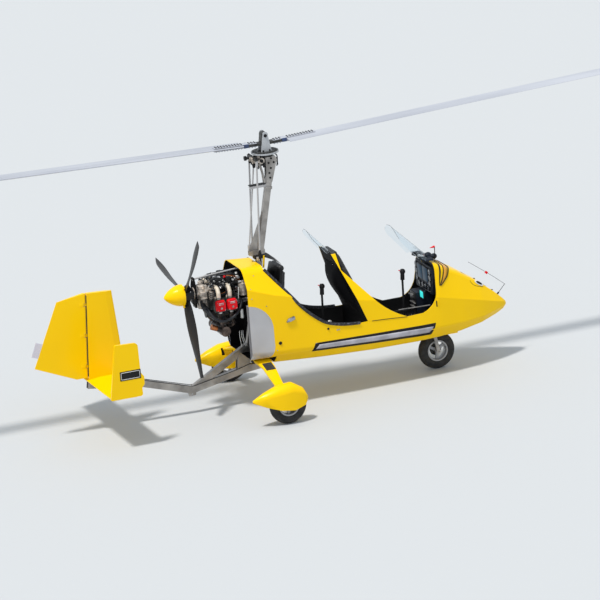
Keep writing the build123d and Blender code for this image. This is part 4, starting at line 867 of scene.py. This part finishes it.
def add_harness():
    """Shoulder and lap straps, laid on the cushions of both seats."""
    pads = tree_of("seat_pads", "seats")
    # columns: start of the rays, the heights of the back, x of the buckle
    for ahead, heights, buckle_x in ((0.45, (1.34, 1.28, 1.15, 1.0, 0.86, 0.76), 0.06),
                                     (1.40, (1.40, 1.34, 1.20, 1.04, 0.90, 0.78), 1.03)):
        deck = touch(pads, (buckle_x, 0, 0.9), (0, 0, -1)).z + 0.016
        for side in SIDES:
            line = []
            for k, z in enumerate(heights):
                place = touch(pads, (ahead, side * (0.055 + 0.012 * k), z), (-1, 0, 0))
                if place:
                    line.append((place + Vector((0.014, 0, 0.003)), (0, 1, 0)))
            end = (buckle_x, side * 0.03, deck + 0.004)
            belt("shoulder_strap", line + [(end, (0, 1, 0))])
            belt("lap_strap", [((buckle_x - 0.06, side * 0.185, deck - 0.004), (1, 0, 0.1)),
                               ((buckle_x - 0.03, side * 0.11, deck), (1, 0, 0)), (end, (1, 0, 0))])
        buckle = Group("harness_buckle", bright_bolts)
        buckle.rod((buckle_x, 0, deck - 0.004), (buckle_x, 0, deck + 0.012), 0.03, 0.026, 24).done()
    for side in SIDES:
        belt("mast_strap", [((-0.125, side * 0.028, 1.535), (0, 0, 1)),
                            ((-0.06, side * 0.05, 1.51), (0, 0.4, 1)),
                            ((0.0, side * 0.065, 1.468), (0, 1, 0.5)),
                            ((0.05, side * 0.07, 1.415), (0, 1, 0))])


# Cushions
PAD_GROWTH = 0.010
VOXEL = 0.0065
SWELL_FRAMES = 20


def shell_near(node, place):
    """The one closed shell of a node that is nearest to a place."""
    bm = merged_copy(node)
    first = min(bm.verts, key=lambda vert: (vert.co - Vector(place)).length)
    kept, rim = {first}, [first]
    while rim:
        for edge in rim.pop().link_edges:
            for vert in edge.verts:
                if vert not in kept:
                    kept.add(vert)
                    rim.append(vert)
    bmesh.ops.delete(bm, geom=[vert for vert in bm.verts if vert not in kept], context="VERTS")
    bmesh.ops.recalc_face_normals(bm, faces=bm.faces)
    return bm


def finished_mesh(piece):
    """The piece's mesh with its modifiers applied."""
    bpy.context.view_layer.update()
    return bpy.data.meshes.new_from_object(piece.evaluated_get(bpy.context.evaluated_depsgraph_get()))


def swell(pad):
    """Blows a pad up by cloth pressure, and holds each point's move to a cap."""
    before = [vert.co.copy() for vert in pad.data.vertices]
    cloth = pad.modifiers.new("cloth", "CLOTH")
    cloth.settings.quality = 4
    cloth.settings.use_pressure = True
    cloth.settings.uniform_pressure_force = 4.0
    cloth.settings.effector_weights.gravity = 0.0
    cloth.point_cache.frame_end = SWELL_FRAMES
    for moment in range(1, SWELL_FRAMES + 1):
        bpy.context.scene.frame_set(moment)
    swollen = finished_mesh(pad)
    pad.modifiers.clear()
    bpy.context.scene.frame_set(1)
    pad.data = swollen
    for vert, start in zip(pad.data.vertices, before):
        move = vert.co - start
        vert.co = start + move * min(1.0, PAD_GROWTH / max(move.length, 1e-6))


def stuff_cushion(name, place, seams, along):
    """A foam pad: the solid, drawn in a little, blown up, then sewn across."""
    bm = shell_near("seat_pads", place)
    for vert in bm.verts:
        vert.co -= vert.normal * 0.004
    pad = piece_of(bm, name, leather)
    blocks = pad.modifiers.new("blocks", "REMESH")
    blocks.mode, blocks.voxel_size = "VOXEL", VOXEL
    pad.data = finished_mesh(pad)
    pad.modifiers.clear()
    swell(pad)
    sew(pad.data, seams, along)
    pad.data.materials.clear()
    pad.data.materials.append(leather.material)
    pad.data.shade_smooth()
    finer = pad.modifiers.new("finer", "SUBSURF")
    finer.levels = finer.render_levels = 1
    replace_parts(pad, "seat_pads")


def sew(mesh, seams, along):
    """Pulls the cover in along its sewn channels: across at some places, and lengthwise near both edges."""
    normals = [vert.normal.copy() for vert in mesh.vertices]
    for vert, normal in zip(mesh.vertices, normals):
        gap = min(abs(vert.co[along] - seam) for seam in seams)
        side_gap = abs(abs(vert.co.y) - 0.125)
        depth = 0.006 * exp(-(gap / 0.007) ** 2) + 0.005 * exp(-(side_gap / 0.006) ** 2)
        vert.co -= normal * depth


def add_head_rolls():
    """The round rolls on the tops of the two seat backs."""
    rolls = Group("head_rolls", leather)
    for x, z in ((0.028, 1.385), (0.612, 1.432)):
        made = bmesh.ops.create_cone(rolls.bm, cap_ends=True, segments=24, radius1=0.032, radius2=0.032,
                                     depth=0.25, matrix=aim(Vector((x, -0.125, z)), Vector((x, 0.125, z))))
        caps = [edge for edge in {e for vert in made["verts"] for e in vert.link_edges}
                if abs(edge.verts[0].co.y - edge.verts[1].co.y) < 0.001]
        bmesh.ops.bevel(rolls.bm, geom=caps, offset=0.018, segments=4, profile=0.5, affect="EDGES",
                        material=-1)
    rolls.done(60)


def add_cushions():
    stuff_cushion("rear_back_cushion", (-0.03, 0, 1.0), (0.82, 0.96, 1.10, 1.24), 2)
    stuff_cushion("rear_pan_cushion", (0.1, 0, 0.65), (0.02, 0.12, 0.22), 0)
    stuff_cushion("front_back_cushion", (0.78, 0, 1.05), (0.84, 0.99, 1.14, 1.29), 2)
    stuff_cushion("front_pan_cushion", (1.1, 0, 0.64), (1.04, 1.12, 1.20), 0)


def add_seat_shell():
    """The front seat's moulded back, which swells out behind its flat panel."""
    panel = tree_of("seat_back_panel")
    rows = []
    # columns: height, how far it stands out
    for z, out in ((0.800, -0.002), (0.850, 0.038), (0.930, 0.064), (1.015, 0.086), (1.105, 0.097),
                   (1.195, 0.086), (1.270, 0.044), (1.330, -0.002)):
        rear = touch(panel, (0.2, 0, z), (1, 0, 0)).x
        rows.append([(rear - out * (1 - abs(y / 0.19) ** 5), y, z) for y in
                     (-0.19, -0.18, -0.15, -0.10, -0.05, 0.0, 0.05, 0.10, 0.15, 0.18, 0.19)])
    sheet_piece("front_seat_shell", rows, deep_black, 0.003, 2)


def rim_points():
    """The rear cockpit's edge in side view, from the cowl's top to the front seat's fairing."""
    def bow(a, b, c, steps=6):
        for k in range(steps):
            t = k / steps
            yield tuple((1 - t) ** 2 * p + 2 * t * (1 - t) * q + t * t * r for p, q, r in zip(a, b, c))
    yield (-0.200, 1.444)
    yield (-0.10, 1.312)
    yield from bow((0.060, 1.105), (0.169, 0.949), (0.362, 0.817))
    yield from bow((0.362, 0.817), (0.557, 0.733), (0.824, 0.745))


def add_rim_trim():
    """Mottled rubber along the rear cockpit's edges."""
    for side in SIDES:
        places = [(x, flank(x, z - 0.012, side).y - side * 0.004, z + 0.001) for x, z in rim_points()]
        bent_tube("cockpit_edge_trim", places, 0.017, trim_rubber)


def add_nose_vent():
    """The oval vent on the nose, in its pale lip."""
    centre, normal, _, _ = hull.find_nearest(Vector((2.15, -0.114, 0.851)))
    along = (on_skin((2.21, -0.098, 0.804)) - on_skin((2.08, -0.130, 0.891))).normalized()
    across = normal.cross(along).normalized()
    turn = Matrix((along, across, along.cross(across))).transposed().to_4x4()
    Group("nose_vent_lip", pale_plastic).ball(centre, (0.060, 0.026, 0.006), 28, 12, turn).done()
    Group("nose_vent", black_gel).ball(centre, (0.0492, 0.02132, 0.0085), 28, 12, turn).done()


def add_hull_fittings():
    """Ports, screws, hatch and rods of the hull."""
    dark, bright = Group("hull_dark_fittings", black_trim), Group("hull_bright_fittings", bright_bolts)
    for side in SIDES:
        port = flank(-0.136, 0.690, side)
        dark.rod(port - Vector((0, side * 0.003, 0)), port + Vector((0, side * 0.006, 0)), 0.019, 0.016, 24)
        dark.bolt(flank(0.389, 0.745, side), (0, side, 0), 0.009)
        for x in (0.485, 0.505):
            bright.bolt(flank(x, 0.716, side), (0, side, 0))
        for x, z in ((-0.40, 1.30), (-0.40, 1.20), (-0.33, 1.41), (-0.25, 1.10), (-0.175, 0.62)):
            bright.bolt(flank(x, z, side), (0, side, 0), 0.0045)
    bright.ball((0.417, flank(0.417, 0.78, -1).y + 0.02, 0.812), (0.024, 0.016, 0.016))
    for x in (2.14, 2.326):
        dark.ball(crown(x), (0.016, 0.012, 0.006))
    finish_groups(dark, bright)
    add_nose_vent()
    half = [(2.02, 0.0), (2.02, -0.10), (2.035, -0.15), (2.06, -0.16), (2.13, -0.142), (2.20, -0.108),
            (2.25, -0.06), (2.262, 0.0)]
    loop = half + [(x, -y) for x, y in reversed(half[:-1])]
    bent_tube("nose_hatch_seam", [crown(x, y, 0.0005) for x, y in loop], 0.0022, black_trim)
    # The dark block called gap, just behind each side tab, is painted shade on the hull beside the tab
    tab, gap = Group("side_tab", yellow), Group("side_tab_painted_shade", black_trim)
    for side in SIDES:
        seam = ((0.87, 0.739), (1.0, 0.731), (1.07, 0.726), (1.16, 0.718), (1.256, 0.710))
        bent_tube("fairing_seam", [flank(x, z, side, 0.001) for x, z in seam], 0.003, black_trim)
        edge = flank(1.610, 0.785, side).y
        tab.block((1.604, edge - 0.006, 0.752), (1.618, edge + 0.006, 0.822), 0.003)
        # painted shade: a thin dark block on the hull just behind the tab
        gap.block((1.590, edge - 0.002, 0.748), (1.603, edge + 0.002, 0.812), 0.0005)
    finish_groups(tab, gap)
    tip = Group("probe_and_staff", black_trim).rod((2.360, 0, 0.640), (2.404, 0, 0.680), 0.011, 0.008)
    tip.rod((2.395, 0, 0.671), (2.4775, 0, 0.758), 0.0028).rod((1.732, 0, 1.120), (1.741, 0, 1.291), 0.0042)
    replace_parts(tip.done(), "nose_rods")
    bent_tube("probe_wire", [(2.477, 0, 0.757), (2.465, 0, 0.766), (2.30, 0, 0.905), (2.095, 0, 1.058)],
              0.0018, black_trim)
    spot = Group("probe_flag", red_enamel)
    spot.block((2.268, -0.003, 0.900), (2.300, 0.003, 0.925), 0.001, Matrix.Rotation(radians(40), 4, "Y"))
    spot.done()
    Group("pennant", red_enamel).rod((1.741, 0.001, 1.286), (1.686, 0.001, 1.280), 0.014, 0.002, 4).done()


def between(one, two, share):
    return tuple(a + (b - a) * share for a, b in zip(one, two))


def sheet_piece(name, rows, finish, thick, levels=0, slot=None):
    """A thin sheet through rows of points, with a wall."""
    bm = bmesh.new()
    grid = [[bm.verts.new(place) for place in row] for row in rows]
    for one, two in zip(grid, grid[1:]):
        for a, b, c, d in zip(one, one[1:], two[1:], two):
            bm.faces.new((a, b, c, d))
    bmesh.ops.recalc_face_normals(bm, faces=bm.faces)
    return thicken(piece_of(bm, name, finish, slot=slot), thick, levels=levels)


NOSE_AXIS_Z = 0.85


def round_nose(x, degrees, proud):
    """The point of the nose at some length, that many degrees down from the top."""
    turn = radians(degrees)
    out = Vector((0, sin(turn), cos(turn)))
    return touch(hull, Vector((x, 0, NOSE_AXIS_Z)) + out, -out) + out * proud


def add_screen_skirt():
    """Dark edges and the amber band where the front windscreen runs down the nose."""
    # columns: degrees from the top, x of the rear edge, x of the front edge
    rows = ((0, 1.700, 1.832), (18, 1.698, 1.830), (34, 1.692, 1.810), (46, 1.684, 1.784), (54, 1.672, 1.762),
            (63, 1.660, 1.716), (70, 1.654, 1.672))
    fine = [between(one, two, k / 4) for one, two in zip(rows, rows[1:]) for k in range(4)] + [rows[-1]]
    for side in SIDES:
        def along(share):
            return [round_nose(back + (front - back) * share, side * turn, 0.003)
                    for turn, back, front in fine]
        bent_tube("screen_edge_front", along(1.0), 0.0055, black_trim)
        bent_tube("screen_edge_middle", along(0.42), 0.0045, black_trim)
        sheet_piece("screen_edge_rear", list(zip(along(-0.06), along(0.10))), panel_grey, 0.003,
                    slot="black_plastic")
        sheet_piece("amber_band", list(zip(along(0.50), along(0.70), along(0.90))), amber_band, 0.002)


def add_plain_bands():
    """The dark band along each side, bare of words, and the blank plates on the tail."""
    # columns: name, finish, the two ends along, low and high edge at the rear, then at the front, proud
    bands = (("flank_band", black_gel, 0.20, 1.53, 0.532, 0.622, 0.452, 0.585, 0.0012),
             ("flank_stripe", stripe_grey, 0.24, 1.50, 0.556, 0.600, 0.486, 0.553, 0.0022))
    for name, finish, start, end, low, high, low_end, high_end, proud in bands:
        for side in SIDES:
            rows = []
            for k in range(29):
                share = k / 28
                bottom, top = low + (low_end - low) * share, high + (high_end - high) * share
                x = start + (end - start) * share
                rows.append([flank(x + 0.04 * up, bottom + (top - bottom) * up, side, proud)
                             for up in (0.0, 0.2, 0.4, 0.6, 0.8, 1.0)])
            sheet_piece(name, rows, finish, 0.001)
    plates, frames = Group("blank_plates", black_gel), Group("blank_plate_frames", pale_plastic)
    for side in SIDES:
        plates.slab((-1.885, side * 0.7932, 0.7825), (0.110, 0.0012, 0.0475), 0.0005)
        for low_x, low_z, high_x, high_z in ((-1.985, 0.745, -1.785, 0.750), (-1.985, 0.815, -1.785, 0.820),
                                             (-1.985, 0.745, -1.980, 0.820), (-1.790, 0.745, -1.785, 0.820)):
            frames.block((low_x, side * 0.794 - 0.001, low_z), (high_x, side * 0.794 + 0.001, high_z), 0)
    finish_groups(plates, frames)


def add_hood_fittings():
    """The two pods and the camera on its arm."""
    pods = Group("hood_pods", panel_grey)
    pods.ball((1.642, -0.05, 1.222), (0.040, 0.036, 0.034), 24)
    pods.ball((1.735, 0.03, 1.178), (0.034, 0.032, 0.030), 24).done()
    Group("camera_arm", pale_plastic).rod((1.523, -0.05, 1.249), (1.630, -0.05, 1.196), 0.013, 0.015).done()
    Group("camera_head", black_trim).rod((1.478, -0.05, 1.272), (1.523, -0.05, 1.249), 0.021, 0.019).done()


PANEL_X = 1.599


def add_instruments():
    """Dials with their hands, three screens, switches and knobs."""
    bezels = Group("dial_bezels", black_gel, slot="panel_black")
    faces, marks = Group("dial_faces", gauge_face), Group("dial_marks", pale_plastic)
    knobs, screens = Group("panel_knobs", bright_bolts), Group("panel_screens", dark_screen)
    # columns: across, height, radius
    dials = ((-0.185, 1.085, 0.029), (-0.185, 1.020, 0.029), (-0.175, 0.955, 0.029), (-0.125, 0.90, 0.024),
             (0.185, 1.085, 0.029), (0.185, 1.020, 0.029), (0.175, 0.955, 0.029), (0.12, 0.90, 0.024),
             (-0.055, 0.905, 0.024), (0.03, 0.905, 0.024))
    for number, (y, z, radius) in enumerate(dials):
        bezels.rod((PANEL_X, y, z), (PANEL_X - 0.010, y, z), radius + 0.005, radius + 0.003, 28)
        faces.rod((PANEL_X - 0.004, y, z), (PANEL_X - 0.0108, y, z), radius, sides=28)
        start = Vector((PANEL_X - 0.0113, y, z))
        for k in range(10):
            turn = radians(-135 + 30 * k)
            out = Vector((0, sin(turn), cos(turn)))
            marks.rod(start + out * radius * 0.72, start + out * radius * 0.92, 0.0008, sides=4)
        hand = radians(40 * number)
        marks.rod(start, start + Vector((0, sin(hand), cos(hand))) * radius * 0.65, 0.0011, sides=4)
    for low, high in ((-0.135, 0.0), (0.012, 0.14)):
        bezels.block((PANEL_X - 0.010, low - 0.008, 0.957), (PANEL_X, high + 0.008, 1.113), 0.003)
        screens.block((PANEL_X - 0.0115, low, 0.965), (PANEL_X - 0.004, high, 1.105), 0.0008)
    unit = Group("side_display", cyan_screen).block((1.5035, -0.186, 0.822), (1.508, -0.104, 0.888), 0.001)
    bezels.block((1.506, -0.194, 0.814), (1.532, -0.096, 0.896), 0.004)
    bezels.block((1.512, -0.100, 0.830), (1.530, -0.080, 0.856))
    bezels.block((1.464, -0.080, 0.64), (1.4695, 0.080, 0.855))
    for k in range(6):
        for z in (0.70, 0.745):
            knobs.rod((1.465, -0.06 + 0.024 * k, z), (1.448, -0.06 + 0.024 * k, z), 0.0045, 0.0035)
    for y in (-0.01, 0.025, 0.06):
        knobs.rod((1.465, y, 0.825), (1.445, y, 0.825), 0.010, 0.009, 20)
    for k in range(8):
        y = -0.16 + 0.045 * k
        knobs.rod((PANEL_X, y, 0.868), (PANEL_X - 0.018, y, 0.874), 0.004, 0.003)
    finish_groups(screens, unit, bezels, faces, marks, knobs)


def add_controls():
    """Grips, boots and the lever by the front seat."""
    grips, buttons = Group("stick_grips", black_trim), Group("stick_buttons", red_enamel)
    for x in (1.364, 0.482):
        grips.rod((x + 0.001, 0, 1.00), (x + 0.006, 0, 1.075), 0.022, 0.021, 20)
        grips.ball((x + 0.008, 0, 1.085), (0.030, 0.024, 0.030))
        grips.rod((x - 0.012, 0, 0.485), (x - 0.010, 0, 0.56), 0.045, 0.014, 20)
        buttons.rod((x - 0.019, 0.008, 1.098), (x - 0.031, 0.008, 1.102), 0.005)
    lever = Group("side_lever", steel).rod((1.20, -0.262, 0.771), (1.545, -0.262, 0.762), 0.0065)
    finish_groups(grips, buttons, lever)


WHEEL_Z = 0.195
# columns: name, x, y, body
WHEELS = (("left", -0.281, 0.856, "wheel_left"), ("right", -0.281, -0.856, "wheel_right"),
          ("nose", 1.673, 0.0, "nose_wheel"))


def add_gear_fittings():
    """Step pads on the bow, wheel nuts, valves and brake parts."""
    bow = tree_of("gear_bow")
    for side in SIDES:
        rows = [[touch(bow, (-0.348 + 0.0165 * j, side * (0.362 + 0.022 * k), 0.7), (0, 0, -1)) +
                 Vector((0, 0, 0.002)) for j in range(7)] for k in range(7)]
        sheet_piece("step_pad", rows, rubber, 0.004, slot="black_plastic").data.shade_flat()
    for name, x, y, body in WHEELS:
        nuts = Group("wheel_nuts_" + name, bright_bolts, body)
        for along, up in circle(0.018, 5, 90):
            for side in SIDES:
                nuts.bolt((x + along, y + side * 0.042, WHEEL_Z + up), (0, side, 0), 0.004)
        nuts.rod((x + 0.085, y - 0.030, WHEEL_Z), (x + 0.072, y - 0.052, WHEEL_Z), 0.004, 0.003).done()
        disc = Group("brake_disc_" + name, dull_castings, body)
        disc.rod((x, y + 0.026, WHEEL_Z), (x, y + 0.030, WHEEL_Z), 0.062, sides=40).done()


def add_tyres():
    """Round tyres with three ribs and moulded side rings, spun from one half profile."""
    # columns: across the tyre, radius
    half = [(0.034, 0.1046), (0.0405, 0.112), (0.0465, 0.124), (0.0490, 0.140), (0.0490, 0.152),
            (0.0470, 0.153), (0.0468, 0.157), (0.0482, 0.158), (0.0455, 0.168), (0.0395, 0.178),
            (0.0325, 0.185), (0.0235, 0.1905), (0.0225, 0.1865), (0.0185, 0.1868), (0.0178, 0.1925),
            (0.0065, 0.1948), (0.0060, 0.1900), (0.0020, 0.1900), (0.0014, 0.1950)]
    ring = half + [(-across, radius) for across, radius in reversed(half)]
    for name, x, y, body in WHEELS:
        bm = bmesh.new()
        verts = [bm.verts.new((x, y + across, WHEEL_Z + radius)) for across, radius in ring]
        edges = [bm.edges.new(pair) for pair in zip(verts, verts[1:] + verts[:1])]
        bmesh.ops.spin(bm, geom=verts + edges, cent=(x, y, WHEEL_Z), axis=(0, 1, 0), angle=2 * pi, steps=72,
                       use_merge=True)
        bmesh.ops.remove_doubles(bm, verts=bm.verts, dist=0.00001)
        bmesh.ops.recalc_face_normals(bm, faces=bm.faces)
        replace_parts(piece_of(bm, "tyre_" + name + "_tread", rubber, body, angle=38), "tyre_" + name)


# The rudder's hinge line: its foot, and how far it leans for each metre up
HINGE_X = -2.104
HINGE_Z = 0.56
HINGE_LEAN = 0.0608


def add_rudder_seal():
    """The dark seal on the fin's rear edge and the covers of the hinges' slots, both along the hinge line."""
    tilt = Matrix.Rotation(atan2(HINGE_LEAN, 1), 4, "Y")
    seal = Group("rudder_seal", black_trim)
    seal.slab((HINGE_X + 0.46 * HINGE_LEAN + 0.0281, 0, HINGE_Z + 0.46), (0.0008, 0.020, 0.42), 0, tilt)
    covers = Group("hinge_covers", yellow, "rudder")
    for up in (0.150, 0.470, 0.790):
        middle = (HINGE_X + up * HINGE_LEAN - 0.026, 0.0202, HINGE_Z + up)
        both(covers.slab, middle, (0.024, 0.001, 0.021), 0.0008, turn=tilt)
    finish_groups(seal, covers)


def add_control_cables():
    """Two thin cables along the boom to the rudder's foot."""
    route = ((-0.35, 0.43), (-0.46, 0.395), (-0.93, 0.311), (-0.99, 0.30), (-1.05, 0.319), (-1.45, 0.443),
             (-1.51, 0.462), (-1.57, 0.472), (-2.03, 0.545))
    both(bent_tube, "rudder_cable", [(x, 0.032, z) for x, z in route], 0.0035, black_hose)


dress_covers()
dress_engine()
add_loom()
dress_exhaust()
dress_rotor_head()
dress_propeller()
dress_mast()
add_cushions()
add_head_rolls()
add_seat_shell()
add_harness()
add_rim_trim()
add_hull_fittings()
add_screen_skirt()
add_plain_bands()
add_hood_fittings()
add_instruments()
add_controls()
add_gear_fittings()
add_tyres()
add_control_cables()
add_rudder_seal()


def add_floor():
    """A wide pale floor."""
    bm = bmesh.new()
    bmesh.ops.create_grid(bm, x_segments=1, y_segments=1, size=150)
    mesh = bpy.data.meshes.new("floor")
    bm.to_mesh(mesh)
    bm.free()
    floor = bpy.data.objects.new("floor", mesh)
    made = Finish("pale_floor", (0.52, 0.54, 0.56), rough=0.9)
    mesh.materials.append(made.material)
    bpy.context.scene.collection.objects.link(floor)


def add_lights():
    """A pale sky and one soft sun, from above on the camera's left."""
    world = bpy.data.worlds.new("sky")
    bpy.context.scene.world = world
    world.use_nodes = True
    sky = world.node_tree.nodes["Background"]
    sky.inputs["Color"].default_value = (0.86, 0.93, 1.0, 1)
    sky.inputs["Strength"].default_value = 0.72
    lamp = bpy.data.lights.new("sun", "SUN")
    lamp.energy, lamp.angle, lamp.color = 2.9, radians(6), (1.0, 0.96, 0.9)
    sun = bpy.data.objects.new("sun", lamp)
    towards = VIEW_UP * 0.85 + VIEW_BACK * 0.62 - VIEW_RIGHT * 0.38
    sun.rotation_euler = towards.to_track_quat("Z", "Y").to_euler()
    bpy.context.scene.collection.objects.link(sun)


add_floor()
add_lights()
bpy.context.scene.view_settings.view_transform = "Standard"
